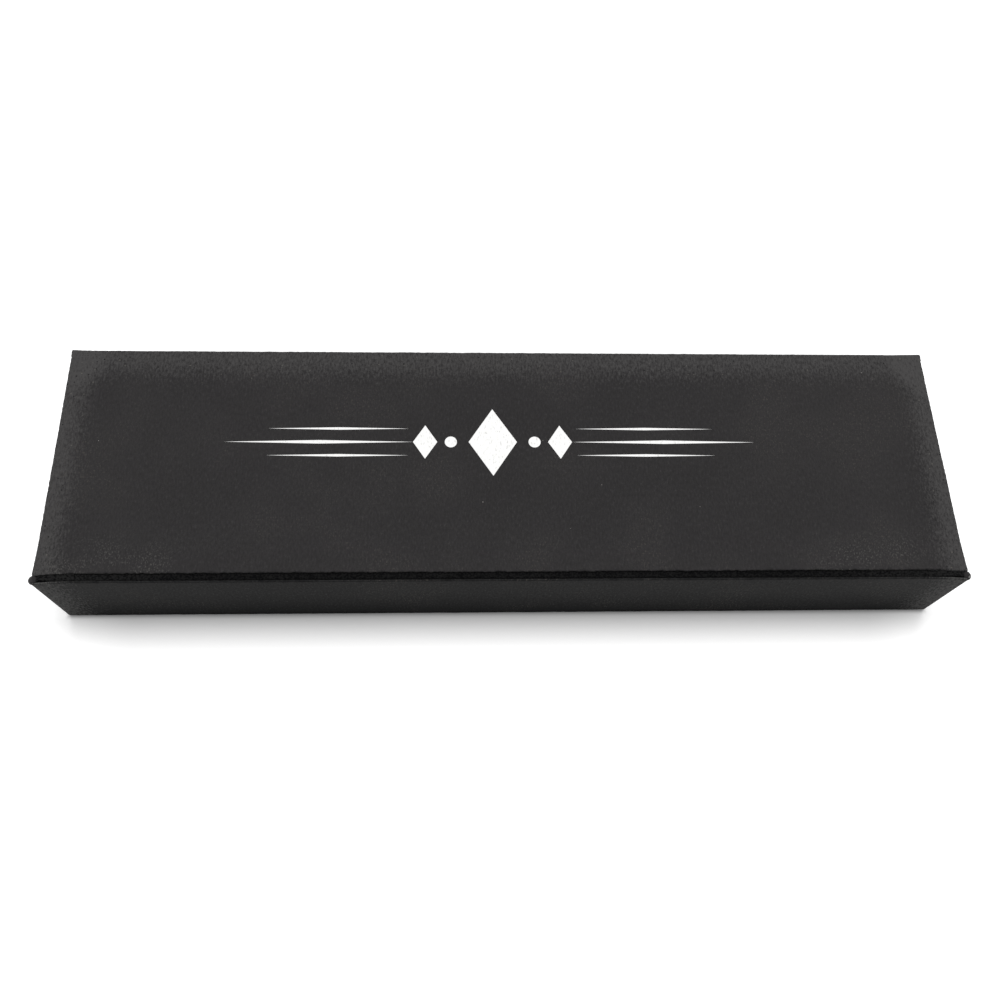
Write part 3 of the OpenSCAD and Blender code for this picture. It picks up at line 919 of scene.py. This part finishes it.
def stand_in(piece: Piece, node: str, body: Body, slot: Slot = Slot.LEATHERETTE) -> Piece:
    """Puts a piece in a CAD node's place.

    Args:
        piece: The piece.
        node: The node that it stands for.
        body: The body that it rides on.
        slot: Its material slot in the record; not used.

    Returns:
        The piece.
    """
    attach(piece, body.value)
    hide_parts(node)
    return piece


def wander(place: float, seed: float, turns: float = 260) -> float:
    """Gives a smooth wandering value from -1 to 1 along a length, with some turns to the metre."""
    return noise.noise(Vector((place * turns, seed, NOISE_PLANE)))


@dataclass(frozen=True)
class RoughEdge:
    """The small wandering of an edge of glued leatherette, on which its grain stands out."""

    seed: float
    sway: float = 0.04 * MM
    grain: float = 0.07 * MM
    grain_turns: float = 1700
    grain_seed: float = 0.5

    def shift(self, place: float) -> float:
        """Gives how far the edge stands out at a place along it, in metres."""
        grain = self.grain * wander(place, self.seed + self.grain_seed, self.grain_turns)
        return self.sway * wander(place, self.seed) + grain


@dataclass(frozen=True)
class Corner:
    """The swelling towards a corner, where the leatherette is folded double."""

    rise: float = 0.2 * MM
    reach: float = 8 * MM

    def swell(self, distance: float) -> float:
        """Gives how far an edge stands out at a distance from the corner, in metres."""
        return self.rise * max(0, 1 - distance / self.reach) ** 2


@dataclass
class HingeStrip:
    """The leatherette that crosses a hinge line.

    Its lines are points given as the distance from the outer face and the depth below the top.
    """

    name: str
    node: str
    skins: tuple[Finish, ...]
    bodies: tuple[Body, Body]
    outward: int
    outer: float = field(init=False)
    top: float = field(init=False)
    half: float = field(init=False)
    gap: float = field(init=False)
    ear: float = 0.75 * MM
    ear_faces: tuple[int, int] = (24, 16)
    ear_inset: float = 0.22 * MM
    ear_spot: Point = (0.5 * MM, 0.55 * MM)
    ear_stretch: Triple = (0.6, 0.8, 0.8)
    ear_lumps: float = 0.1 * MM
    ear_lump_scale: float = 1700
    thickness: float = 0.22 * MM
    rows: int = 64

    def __post_init__(self) -> None:
        """Takes the strip's place and its distance to the lid from the CAD nodes."""
        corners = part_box(self.node)
        side = max(0, self.outward)
        self.half, self.top, self.outer = corners[1].x, corners[1].z, corners[side].y
        self.gap = abs(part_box("lid_cover")[side].y - self.outer)

    def line(self, inside: float) -> list[Point]:
        """Gives the strip's cross-section from the lid on, so far inside its outer side."""
        raise NotImplementedError

    def bend(self) -> tuple[Point, Point]:
        """Gives where the strip leaves the lid and where it has joined the other panel."""
        raise NotImplementedError

    def finish_shape(self, shaper: Shaper) -> None:
        """Adds what one kind of strip has beyond its drawn shape."""
        raise NotImplementedError

    def spot(self, line_point: Point) -> Point:
        """Gives a point of a line as Y and Z."""
        return self.outer - self.outward * line_point[0], self.top - line_point[1]

    def ears(self, shaper: Shaper) -> None:
        """Adds the small knobs of leatherette that the fold pinches out at its ends.

        Args:
            shaper: The strip's mesh.
        """
        around, up = self.ear_faces
        for way in (-1, 1):
            place = (way * (self.half - self.ear_inset), *self.spot(self.ear_spot))
            verts = bmesh.ops.create_uvsphere(
                shaper.bm, u_segments=around, v_segments=up, radius=self.ear
            )["verts"]
            bmesh.ops.scale(shaper.bm, vec=self.ear_stretch, verts=verts)
            bmesh.ops.translate(shaper.bm, vec=place, verts=verts)
            for vert in verts:
                vert.co += vert.normal * self.ear_lumps * noise.noise(vert.co * self.ear_lump_scale)
        shaper.paint(Layer.SECOND, lambda middle, normal: abs(middle.x) > self.half - self.ear)

    def build(self) -> Piece:
        """Builds the strip in place and hides the CAD node that it stands for.

        Returns:
            The strip.
        """
        shaper = Shaper()
        points = self.line(0) + self.line(self.thickness)[::-1]
        shaper.draw([(-self.half, *self.spot(point)) for point in points], Vector((2 * self.half, 0, 0)))
        shaper.divide(0, self.rows)
        self.finish_shape(shaper)
        strip = shaper.piece(self.name, *self.skins)
        ends = [Vector((0, *self.spot(point))) for point in self.bend()]
        if self.bodies[0] is not Body.LID:
            ends.reverse()
        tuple(ends[0])
        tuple(ends[1])
        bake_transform(strip)
        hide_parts(self.node)
        return strip


@dataclass
class CreaseStrip(HingeStrip):
    """The front hinge: the strip is pressed into a crease, and its turned-in ends are double.

    A row of the valley has a share of the gap, a distance to add, and a share of the depth.
    """

    ear_inset: float = 0.05 * MM
    ear_spot: Point = (0.7 * MM, 0.55 * MM)
    ear_stretch: Triple = (1.15, 1.25, 0.8)
    valley: tuple[Triple, ...] = (
        (1, 0.25 * MM, 0.7), (1, -0.12 * MM, 0.8), (0.78, 0, 0.97),
        (0.58, 0, 1), (0.42, 0, 0.93), (0, 0.5 * MM, 0.66),
    )
    bend_shares: Point = (0.8, 0.3)
    depth: float = 0.64 * MM
    doubled: float = 8 * MM
    doubled_rise: float = 0.22 * MM
    ripple: float = 0.05 * MM
    ripple_seed: float = 900
    curl_spot: Point = (0.5 * MM, -0.1 * MM)
    curl_radius: float = 0.34 * MM
    curl_tube: float = 0.1 * MM
    curl_angle: float = math.radians(-110)
    curl_faces: tuple[int, int] = (8, 20)

    def line(self, inside: float) -> list[Point]:
        """Gives a shallow valley from inside the lid's edge to inside the flap's lip."""
        return [(self.gap * share + more, self.depth * sink + inside) for share, more, sink in self.valley]

    def bend(self) -> tuple[Point, Point]:
        """Gives a bend across the whole valley."""
        leaves, joins = self.bend_shares
        return (self.gap * leaves, self.depth), (self.gap * joins, self.depth)

    def finish_shape(self, shaper: Shaper) -> None:
        """Raises the doubled ends, lets the valley wander, and adds the ears and the curled edge.

        Args:
            shaper: The strip's mesh.
        """
        inner = self.half - self.doubled
        shaper.slice([way * (inner - reach) for way in (-1, 1) for reach in (0, self.doubled_rise)])
        for vert in shaper.bm.verts:
            if abs(vert.co.x) > inner - self.doubled_rise / 2:
                vert.co.z += self.doubled_rise
            vert.co.z += self.ripple * wander(vert.co.x, vert.co.y * self.ripple_seed)
        self.ears(shaper)
        self.curl(shaper)

    def curl(self, shaper: Shaper) -> None:
        """Adds the film's edge that has curled off the right ear, painted pale as a highlight.

        Args:
            shaper: The strip's mesh.
        """
        kept = set(shaper.bm.faces)
        segments, steps = self.curl_faces
        centre = Vector((self.half - self.ear_inset, *self.spot(self.curl_spot)))
        ring = bmesh.ops.create_circle(shaper.bm, segments=segments, radius=self.curl_tube)["verts"]
        edges = list({edge for vert in ring for edge in vert.link_edges})
        bmesh.ops.rotate(shaper.bm, verts=ring, matrix=Matrix.Rotation(math.pi / 2, 3, "X"))
        bmesh.ops.translate(shaper.bm, vec=centre + Vector((self.curl_radius, 0, 0)), verts=ring)
        turned = bmesh.ops.spin(
            shaper.bm, geom=ring + edges, cent=centre, axis=(0, 0, 1), angle=self.curl_angle, steps=steps
        )["geom_last"]
        for loop in (edges, [part for part in turned if isinstance(part, Edge)]):
            bmesh.ops.contextual_create(shaper.bm, geom=loop)
        for face in set(shaper.bm.faces) - kept:
            face.material_index = Layer.THIRD


@dataclass
class BentStrip(HingeStrip):
    """The rear hinge: the strip runs flush from the lid and bends down over the spine."""

    radius: float = 0.5 * MM
    flat_end: float = 0.66
    tail: float = 0.83 * MM
    arc: range = range(0, 91, 10)
    edge: RoughEdge = RoughEdge(3.1)
    corner: Corner = Corner()

    def line(self, inside: float) -> list[Point]:
        """Gives the line from the lid's edge over the bend to the spine.

        Args:
            inside: The distance from the strip's outer side.

        Returns:
            The points.
        """
        middle, radius = self.radius, self.radius - inside
        turns = [math.radians(angle) for angle in self.arc]
        arc = [(middle - radius * math.sin(turn), middle - radius * math.cos(turn)) for turn in turns]
        return [(self.gap, inside), (self.gap * self.flat_end, inside), *arc, (inside, self.tail)]

    def bend(self) -> tuple[Point, Point]:
        """Gives the bend round the hinge line."""
        return (self.radius, 0), (0, self.radius)

    def finish_shape(self, shaper: Shaper) -> None:
        """Roughens the bend, swells its corners and adds their small ears.

        Args:
            shaper: The strip's mesh.
        """
        for vert in shaper.bm.verts:
            share = max(0, 1 - abs(vert.co.y - self.outer) / self.radius)
            stand = self.edge.shift(vert.co.x) + self.corner.swell(self.half - abs(vert.co.x))
            vert.co.y += self.outward * stand * share
        self.ears(shaper)


@dataclass
class StandingPanel:
    """A panel that stands on a long side of the case, with or without a lip along its hinge line.

    A point of the crest has a share of the lip's width and a share of its height.
    """

    name: str
    node: str
    body: Body
    skin: Finish
    outward: int
    thickness: float
    lip: float = 0
    lip_width: float = 0.8 * MM
    lip_start: float = 0.1 * MM
    lip_edge: RoughEdge = RoughEdge(2.6, grain=0.14 * MM)
    crest: tuple[Point, ...] = ((0, 0.72), (0.16, 0.96), (0.42, 1.0), (0.68, 0.7), (1.0, 0))
    shade_below: float = 0.05 * MM
    shade_facing: float = -0.2
    foot_edge: RoughEdge = RoughEdge(7.1, sway=0.1 * MM)
    corner: Corner = Corner(0.35 * MM)
    lining: Point | None = None
    rounding: float = 0.28 * MM
    rim_angle: float = math.radians(60)
    rows: int = 48
    low: Vector = field(init=False)
    high: Vector = field(init=False)

    def __post_init__(self) -> None:
        """Takes the panel's box from its CAD node."""
        self.low, self.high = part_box(self.node)

    def roughen(self, shaper: Shaper) -> None:
        """Lets the lip and the lower edge wander.

        Args:
            shaper: The panel's mesh.
        """
        for vert in shaper.bm.verts:
            if vert.co.z > self.high.z + self.lip_start:
                vert.co.z += self.lip_edge.shift(vert.co.x)
                vert.co.y += self.outward * self.corner.swell(self.high.x - abs(vert.co.x))
            elif vert.co.z < self.low.z + self.rounding * LOOSELY:
                vert.co.z += self.foot_edge.shift(vert.co.x)

    def outline(self) -> list[Triple]:
        """Gives the panel's cross-section at its left end.

        Returns:
            The corners.
        """
        low, high = self.low, self.high
        outer = low.y if self.outward < 0 else high.y
        inner = outer - self.outward * self.thickness
        width = self.outward * self.lip_width
        edge = [(outer - width * reach, high.z + self.lip * rise) for reach, rise in self.crest]
        upper = edge if self.lip else [(outer, high.z)]
        return [(low.x, *corner) for corner in ((outer, low.z), *upper, (inner, high.z), (inner, low.z))]

    def is_rim(self, edge: Edge) -> bool:
        """Tells whether an edge is rounded.

        Args:
            edge: The edge.

        Returns:
            True on the lower edges and on the panel's ends.
        """
        first, second = (vert.co for vert in edge.verts)
        along = abs(first.x - second.x) > NEAR
        return edge.calc_face_angle(0) > self.rim_angle and (not along or first.z < self.high.z - MM)

    def sink_lining(self, shaper: Shaper) -> None:
        """Sinks the place of the lining, and brings its upper edge down, since no rounding lies above it.

        Args:
            shaper: The panel's mesh.
        """
        border, depth = self.lining
        faces = shaper.facing(Vector((0, -self.outward, 0)))
        inner = [face for face in faces if face.calc_center_median().z < self.high.z]
        shaper.recess(inner, border - self.rounding, depth)
        edge = self.high.z - border + self.rounding
        level = [vert for vert in shaper.bm.verts if abs(vert.co.z - edge) < NEAR]
        upper = [vert for vert in level if abs(vert.co.x) < self.high.x - MM]
        bmesh.ops.translate(shaper.bm, vec=(0, 0, -self.rounding), verts=upper)

    def is_painted_shade(self, middle: Vector, normal: Vector) -> bool:
        """Tells whether a face lies on the lip's inner slope, which gets the fold's painted shade."""
        return middle.z > self.high.z - self.shade_below and normal.y * self.outward < self.shade_facing

    def build(self) -> Piece:
        """Builds the panel and puts it on its body.

        Returns:
            The panel.
        """
        shaper = Shaper()
        shaper.draw(self.outline(), Vector((self.high.x - self.low.x, 0, 0)))
        shaper.bm.normal_update()
        shaper.round_edges(filter(self.is_rim, shaper.bm.edges), self.rounding)
        if self.lining:
            self.sink_lining(shaper)
        shaper.divide(0, self.rows)
        if self.lip:
            self.roughen(shaper)
            shaper.paint(Layer.SECOND, self.is_painted_shade)
        return stand_in(shaper.piece(self.name, self.skin, CREASE_SHADE), self.node, self.body)


@dataclass
class Lid:
    """The lid: its leatherette, the print on it, its board and its lining."""

    rounding: float = 0.28 * MM
    lining_border: float = 2.96 * MM
    recess: float = 0.26 * MM
    front_edge: RoughEdge = RoughEdge(4.2, grain=0.16 * MM)
    end_edges: tuple[RoughEdge, RoughEdge] = (RoughEdge(5.3), RoughEdge(6.4))
    corner: Corner = Corner()
    front_corner: Corner = Corner(0.45 * MM, 8 * MM)
    edge_step: float = 0.27 * MM
    shade_end: float = 74 * MM
    shade_foot: float = 0.6 * MM
    shade_facing: float = -0.9
    low: Vector = field(init=False)
    high: Vector = field(init=False)

    def __post_init__(self) -> None:
        """Takes the lid's box from its CAD node."""
        self.low, self.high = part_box("lid_cover")

    def at_end(self, place: Vector) -> bool:
        """Tells whether a place lies on one of the lid's ends or its rounding."""
        return abs(place.x) > self.high.x - self.rounding * LOOSELY

    def roughen(self, shaper: Shaper) -> None:
        """Lets the front edge and the ends wander, and swells the front corners.

        Args:
            shaper: The leatherette's mesh.
        """
        for vert in shaper.bm.verts:
            at_end = self.at_end(vert.co)
            if vert.co.z > self.high.z - MM and vert.co.y < self.low.y + MM:
                swell = self.front_corner.swell(self.high.x - abs(vert.co.x))
                vert.co.y += self.front_edge.shift(vert.co.x) - swell
            if at_end:
                swell = self.corner.swell(max(0, vert.co.y - self.low.y))
                vert.co.x += self.end_edges[vert.co.x > 0].shift(vert.co.y) + math.copysign(swell, vert.co.x)

    def is_painted_shade(self, middle: Vector, normal: Vector) -> bool:
        """Tells whether a face lies on the front edge, above its foot, where it gets painted shade of the
        fold.
        """
        above = middle.z > self.low.z + self.shade_foot
        return normal.y < self.shade_facing and above and middle.x < self.shade_end

    def is_rim(self, edge: Edge) -> bool:
        """Tells whether an edge is rounded.

        Args:
            edge: The edge.

        Returns:
            True on the box's twelve edges, but for the upper back one, which runs on into the rear hinge.
        """
        ends = [vert.co for vert in edge.verts]
        sides = [(corner, axis) for corner in (self.low, self.high) for axis in range(3)]
        on = [all(abs(end[axis] - corner[axis]) < TOUCHING for end in ends) for corner, axis in sides]
        return sum(on) >= 2 and not (on[-2] and on[-1])

    def wrap(self) -> Piece:
        """Builds the leatherette round the lid's board.

        Returns:
            The piece.
        """
        shaper = Shaper()
        shaper.block(self.low, self.high)
        shaper.recess(shaper.facing(Vector((0, 0, -1))), self.lining_border, self.recess)
        shaper.round_edges(filter(self.is_rim, shaper.bm.edges), self.rounding)
        size = self.high - self.low
        shaper.divide(0, round(size.x / self.edge_step))
        shaper.divide(1, round(size.y / self.edge_step), self.at_end)
        self.roughen(shaper)
        shaper.paint(Layer.SECOND, self.is_painted_shade)
        return stand_in(shaper.piece("lid_wrap", LID_SKIN, LID_EDGE_SHADE), "lid_cover", Body.LID)

    def build(self) -> list[Piece]:
        """Builds the lid's pieces and dresses its nodes.

        Returns:
            The new pieces.
        """
        GREYBOARD.dress("lid_board")
        BLACK_PAPER.dress("lid_lining")
        return [self.wrap(), Ornament(self.high.z).build()]


@dataclass
class Ornament:
    """A plain printed divider: a lozenge, dots and tapered rules.

    A mark has its number of corners, its distance from the centre to both sides and to the back, and half
    its length and width.
    """

    height: float
    centre: Point = (-3 * MM, 4.4 * MM)
    thickness: float = 0.02 * MM
    marks: tuple[tuple[int, Point, Point], ...] = (
        (4, (0, 0), (5.2 * MM, 8 * MM)),
        (32, (9 * MM, 0), (1.3 * MM, 1.3 * MM)),
        (4, (14.5 * MM, 0), (2.6 * MM, 4 * MM)),
        (4, (37 * MM, 0), (20 * MM, 0.42 * MM)),
        (4, (33 * MM, 3.2 * MM), (15 * MM, 0.3 * MM)),
        (4, (33 * MM, -3.2 * MM), (15 * MM, 0.3 * MM)),
    )

    def build(self) -> Piece:
        """Builds the print and puts it on the lid.

        Returns:
            The print.
        """
        shaper = Shaper()
        for corners, (aside, back), half in self.marks:
            for way in sorted({-aside, aside}):
                verts = bmesh.ops.create_circle(shaper.bm, cap_ends=True, segments=corners, radius=1)["verts"]
                place = (self.centre[0] + way, self.centre[1] + back, self.height - self.thickness)
                bmesh.ops.scale(shaper.bm, vec=(*half, 1), verts=verts)
                bmesh.ops.translate(shaper.bm, vec=place, verts=verts)
        shaper.extrude(list(shaper.bm.faces), Vector((0, 0, 2 * self.thickness)))
        made = shaper.piece("lid_print", PRINT)
        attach(made, Body.LID.value)
        return made


@dataclass
class Flap:
    """The front flap: its leatherette, the hinge that joins it to the lid, its board, lining and magnets."""

    thickness: float = 1.75 * MM
    lip: float = 0.75 * MM
    lining: Point = (2.96 * MM, 0.26 * MM)
    rows: int = 700

    def build(self) -> list[Piece]:
        """Builds the flap's pieces and dresses its nodes.

        Returns:
            The new pieces.
        """
        GREYBOARD.dress("flap_board")
        BLACK_PAPER.dress("flap_lining")
        NICKEL.dress("flap_magnets")
        panel = StandingPanel(
            "flap_wrap", "flap_cover", Body.FLAP, FLAP_SKIN, -1, self.thickness,
            lip=self.lip, lining=self.lining, rows=self.rows,
        )
        hinge = CreaseStrip(
            "front_hinge", "flap_fold", (CREASE_SHADE, EAR_SKIN, CURL_HIGHLIGHT), (Body.LID, Body.FLAP), -1
        )
        return [panel.build(), hinge.build()]


@dataclass
class CaseShell:
    """The fixed shell: base, spine, the hinge to the lid, and the paper-covered tray."""

    rounding: float = 0.3 * MM
    turn_in: float = 1.5 * MM
    spine: float = 1.55 * MM
    hinge_rows: int = 700

    def base(self) -> Piece:
        """Builds the leatherette round the base board.

        Returns:
            The piece.
        """
        low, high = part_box("base_cover")
        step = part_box("base_board")[1].z
        shaper = Shaper()
        shaper.block(low, Vector((high.x, high.y, step)))
        shaper.round_edges(shaper.bm.edges, self.rounding)
        edge = high.x - self.turn_in
        shaper.slice((-edge, edge))
        upper = shaper.facing(Vector((0, 0, 1)))
        strips = [face for face in upper if abs(face.calc_center_median().x) > edge]
        shaper.extrude(strips, Vector((0, 0, high.z - step)))
        bmesh.ops.delete(shaper.bm, geom=strips, context="FACES")
        return stand_in(shaper.piece("base_wrap", SHELL_SKIN), "base_cover", Body.CASE)

    def build(self) -> list[Piece]:
        """Builds the shell's pieces and dresses its nodes.

        Returns:
            The new pieces.
        """
        GREYBOARD.dress("base_board", "spine_board", "tray_board")
        BLACK_PAPER.dress("tray_paper")
        STEEL.dress("keeper_discs")
        spine = StandingPanel("spine_wrap", "spine_cover", Body.CASE, SHELL_SKIN, 1, self.spine)
        hinge = BentStrip(
            "rear_hinge", "lid_fold", (LID_SKIN, LID_SKIN), (Body.CASE, Body.LID), 1, rows=self.hinge_rows
        )
        return [self.base(), spine.build(), hinge.build()]


@dataclass
class Insert:
    """The foam insert with the pen's channel, and the flocked sheet on it.

    The channel's points are places on X and half widths. The notch's area is what lies outside the channel.
    """

    channel: tuple[Point, ...] = (
        (-87.15 * MM, 3.45 * MM), (-66.15 * MM, 3.45 * MM), (20.85 * MM, 5.05 * MM),
        (20.85 * MM, 6.55 * MM), (87.15 * MM, 6.55 * MM),
    )
    notch_x: float = -4.15 * MM
    notch_radius: float = 11.5 * MM
    notch_faces: int = 96
    notch_drop: float = 5 * MM
    notch_area: float = 210e-6
    clear: float = 2 * MM
    foam_edge: float = 0.45 * MM
    sheet_edge: float = 0.225 * MM
    sharp: float = math.radians(40)

    def axis(self) -> Point:
        """Gives the pen's axis as Y and Z."""
        joint = next(joint for joint in frame["joints"] if joint["name"] == "handle_twist")
        return joint["pos_m"][1], joint["pos_m"][2]

    def cutters(self, top: float, deep: bool) -> list[Piece]:
        """Gives the shapes that are cut out for the pen and for fingers.

        Args:
            top: The height that they reach past.
            deep: Whether the channel's round lower half is one of them.

        Returns:
            The channel's upper half and the finger notch, after the lower half if that is wanted.
        """
        axis_y, axis_z = self.axis()
        low, high = axis_z - self.notch_drop, top + self.clear
        slot, notch = Shaper(), Shaper()
        shapers = [slot, notch]
        near = [(x, axis_y - half, axis_z) for x, half in self.channel]
        far = [(x, axis_y + half, axis_z) for x, half in reversed(self.channel)]
        slot.draw(near + far, Vector((0, 0, high - axis_z)))
        verts = bmesh.ops.create_cone(
            notch.bm, cap_ends=True, segments=self.notch_faces,
            radius1=self.notch_radius, radius2=self.notch_radius, depth=high - low,
        )["verts"]
        bmesh.ops.translate(notch.bm, vec=(self.notch_x, axis_y, (low + high) / 2), verts=verts)
        if deep:
            shapers.insert(0, Shaper())
            profile = [(self.channel[0][0], 0), *self.channel, (self.channel[-1][0], 0)]
            shapers[0].turn(profile, axis_y, axis_z)
        return [shaper.piece("cutter") for shaper in shapers]

    def cut_block(self, name: str, node: str, finish: Finish, slot: Slot, radius: float) -> Piece:
        """Builds a block of the insert with its shapes cut out and its edges rounded.

        Args:
            name: The block's name.
            node: The CAD node that it stands for.
            finish: Its finish.
            slot: Its material slot in the record.
            radius: The edges' radius in metres.

        Returns:
            The block.
        """
        low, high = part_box(node)
        shaper = Shaper()
        shaper.block(low, high)
        block = shaper.piece(name, finish)
        cut_out(block, self.cutters(high.z, slot is Slot.FOAM))
        edge = block.modifiers.new("soft_edge", "BEVEL")
        edge.width, edge.segments, edge.profile = radius, Shaper.ROUND_FACES, 0.5
        edge.limit_method, edge.angle_limit = "ANGLE", self.sharp
        edge.miter_outer = "MITER_ARC"
        smooth_out(block)
        return stand_in(block, node, Body.CASE, slot)

    def build(self) -> list[Piece]:
        """Builds the foam and the flocked sheet.

        Returns:
            The new pieces.
        """
        foam = self.cut_block("insert_pad", "insert_foam", FOAM, Slot.FOAM, self.foam_edge)
        sheet = self.cut_block("insert_flock", "insert_velvet", FLOCK, Slot.VELVET, self.sheet_edge)
        channel_area = sum((b[0] - a[0]) * (a[1] + b[1]) for a, b in zip(self.channel, self.channel[1:]))
        return [foam, sheet]


@dataclass
class Wand:
    """The pen: its turned wood, brass and refill keep their CAD shapes and get their finishes."""

    wood: tuple[str, ...] = ("shaft_barrel", "handle_barrel", "pommel")
    brass: tuple[str, ...] = (
        "nose_cone", "shaft_tube", "centre_ring", "twist_body", "handle_tube", "handle_ring", "refill_tip"
    )
    steel: tuple[str, ...] = ("twist_rotor", "refill_slider", "refill_tube", "refill_ball")

    def build(self) -> list[Piece]:
        """Dresses the pen's nodes.

        Returns:
            No new pieces.
        """
        WALNUT.dress(*self.wood)
        BRASS.dress(*self.brass)
        STEEL.dress(*self.steel)
        return []


@dataclass
class Studio:
    """The white floor, the soft light and the camera."""

    floor_half: float = 3.0
    floor_drop: float = 0.02 * MM
    sky: float = 0.4
    key_power: float = 6.9
    key_distance: float = 0.9
    key_side: float = 0.03
    key_tilt: float = math.radians(9.5)
    key_size: Point = (0.5, 0.29)
    lens: float = 36.0
    sensor: float = 36.0
    nearest: float = 0.01
    place: Triple = (-11.64 * MM, -93.59 * MM, 213.34 * MM)
    turn: Triple = (23.824, -2.449, -1.172)

    def floor(self) -> None:
        """Lays a white floor that keeps the case's shadow."""
        bm = bmesh.new()
        bmesh.ops.create_grid(bm, x_segments=1, y_segments=1, size=self.floor_half)
        mesh = bpy.data.meshes.new("floor")
        bm.to_mesh(mesh)
        bm.free()
        mesh.materials.append(FLOOR.material())
        floor = bpy.data.objects.new("floor", mesh)
        floor.location.z = -self.floor_drop
        bpy.context.scene.collection.objects.link(floor)
        floor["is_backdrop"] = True

    def light(self) -> None:
        """Hangs one large soft lamp above and a little behind the case, under an even sky."""
        lamp = bpy.data.lights.new("soft_box", "AREA")
        lamp.shape, lamp.energy = "RECTANGLE", self.key_power
        lamp.size, lamp.size_y = self.key_size
        hung = bpy.data.objects.new("soft_box", lamp)
        back, up = math.sin(self.key_tilt), math.cos(self.key_tilt)
        hung.location = (self.key_side, self.key_distance * back, self.key_distance * up)
        hung.rotation_euler = (-self.key_tilt, 0, 0)
        hung.visible_camera = False
        bpy.context.scene.collection.objects.link(hung)
        world = bpy.data.worlds.new("sky")
        even = Recipe(world, "Background")
        even.set(Color=(1, 1, 1), Strength=even.ramp(even.seen(), 0, 1, self.sky, 1))
        bpy.context.scene.world = world

    def camera(self) -> None:
        """Sets the camera where the photograph was taken from."""
        eye = bpy.data.cameras.new("eye")
        eye.lens, eye.sensor_width = self.lens, self.sensor
        eye.clip_start = self.nearest
        stand = bpy.data.objects.new("eye", eye)
        stand.location = self.place
        stand.rotation_euler = Euler([math.radians(angle) for angle in self.turn], "XYZ")
        bpy.context.scene.collection.objects.link(stand)
        bpy.context.scene.camera = stand

    def build(self) -> list[Piece]:
        """Sets up floor, light, camera and plain colour output.

        Returns:
            No pieces of the object.
        """
        bpy.context.scene.view_settings.view_transform = "Standard"
        self.camera()
        self.floor()
        self.light()
        return []


def write_sizes() -> None:
    """Puts the boxes of the CAD model and of the dressed model into JSON text, which is then dropped."""
    boxes = {"cad": CAD_BOX, "visual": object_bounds()}
    json.dumps({name: [list(low), list(high)] for name, (low, high) in boxes.items()})


def main() -> None:
    """Builds the studio and each sub-assembly in order, and reports its pieces."""
    logging.basicConfig(level=logging.INFO, format="%(name)s: %(message)s")
    for part in (Studio(), CaseShell(), Lid(), Flap(), Insert(), Wand()):
        for piece in part.build():
            LOG.info("%s: %s, %d faces", type(part).__name__, piece.name, len(piece.data.polygons))
    write_sizes()


if __name__ == "__main__":
    main()
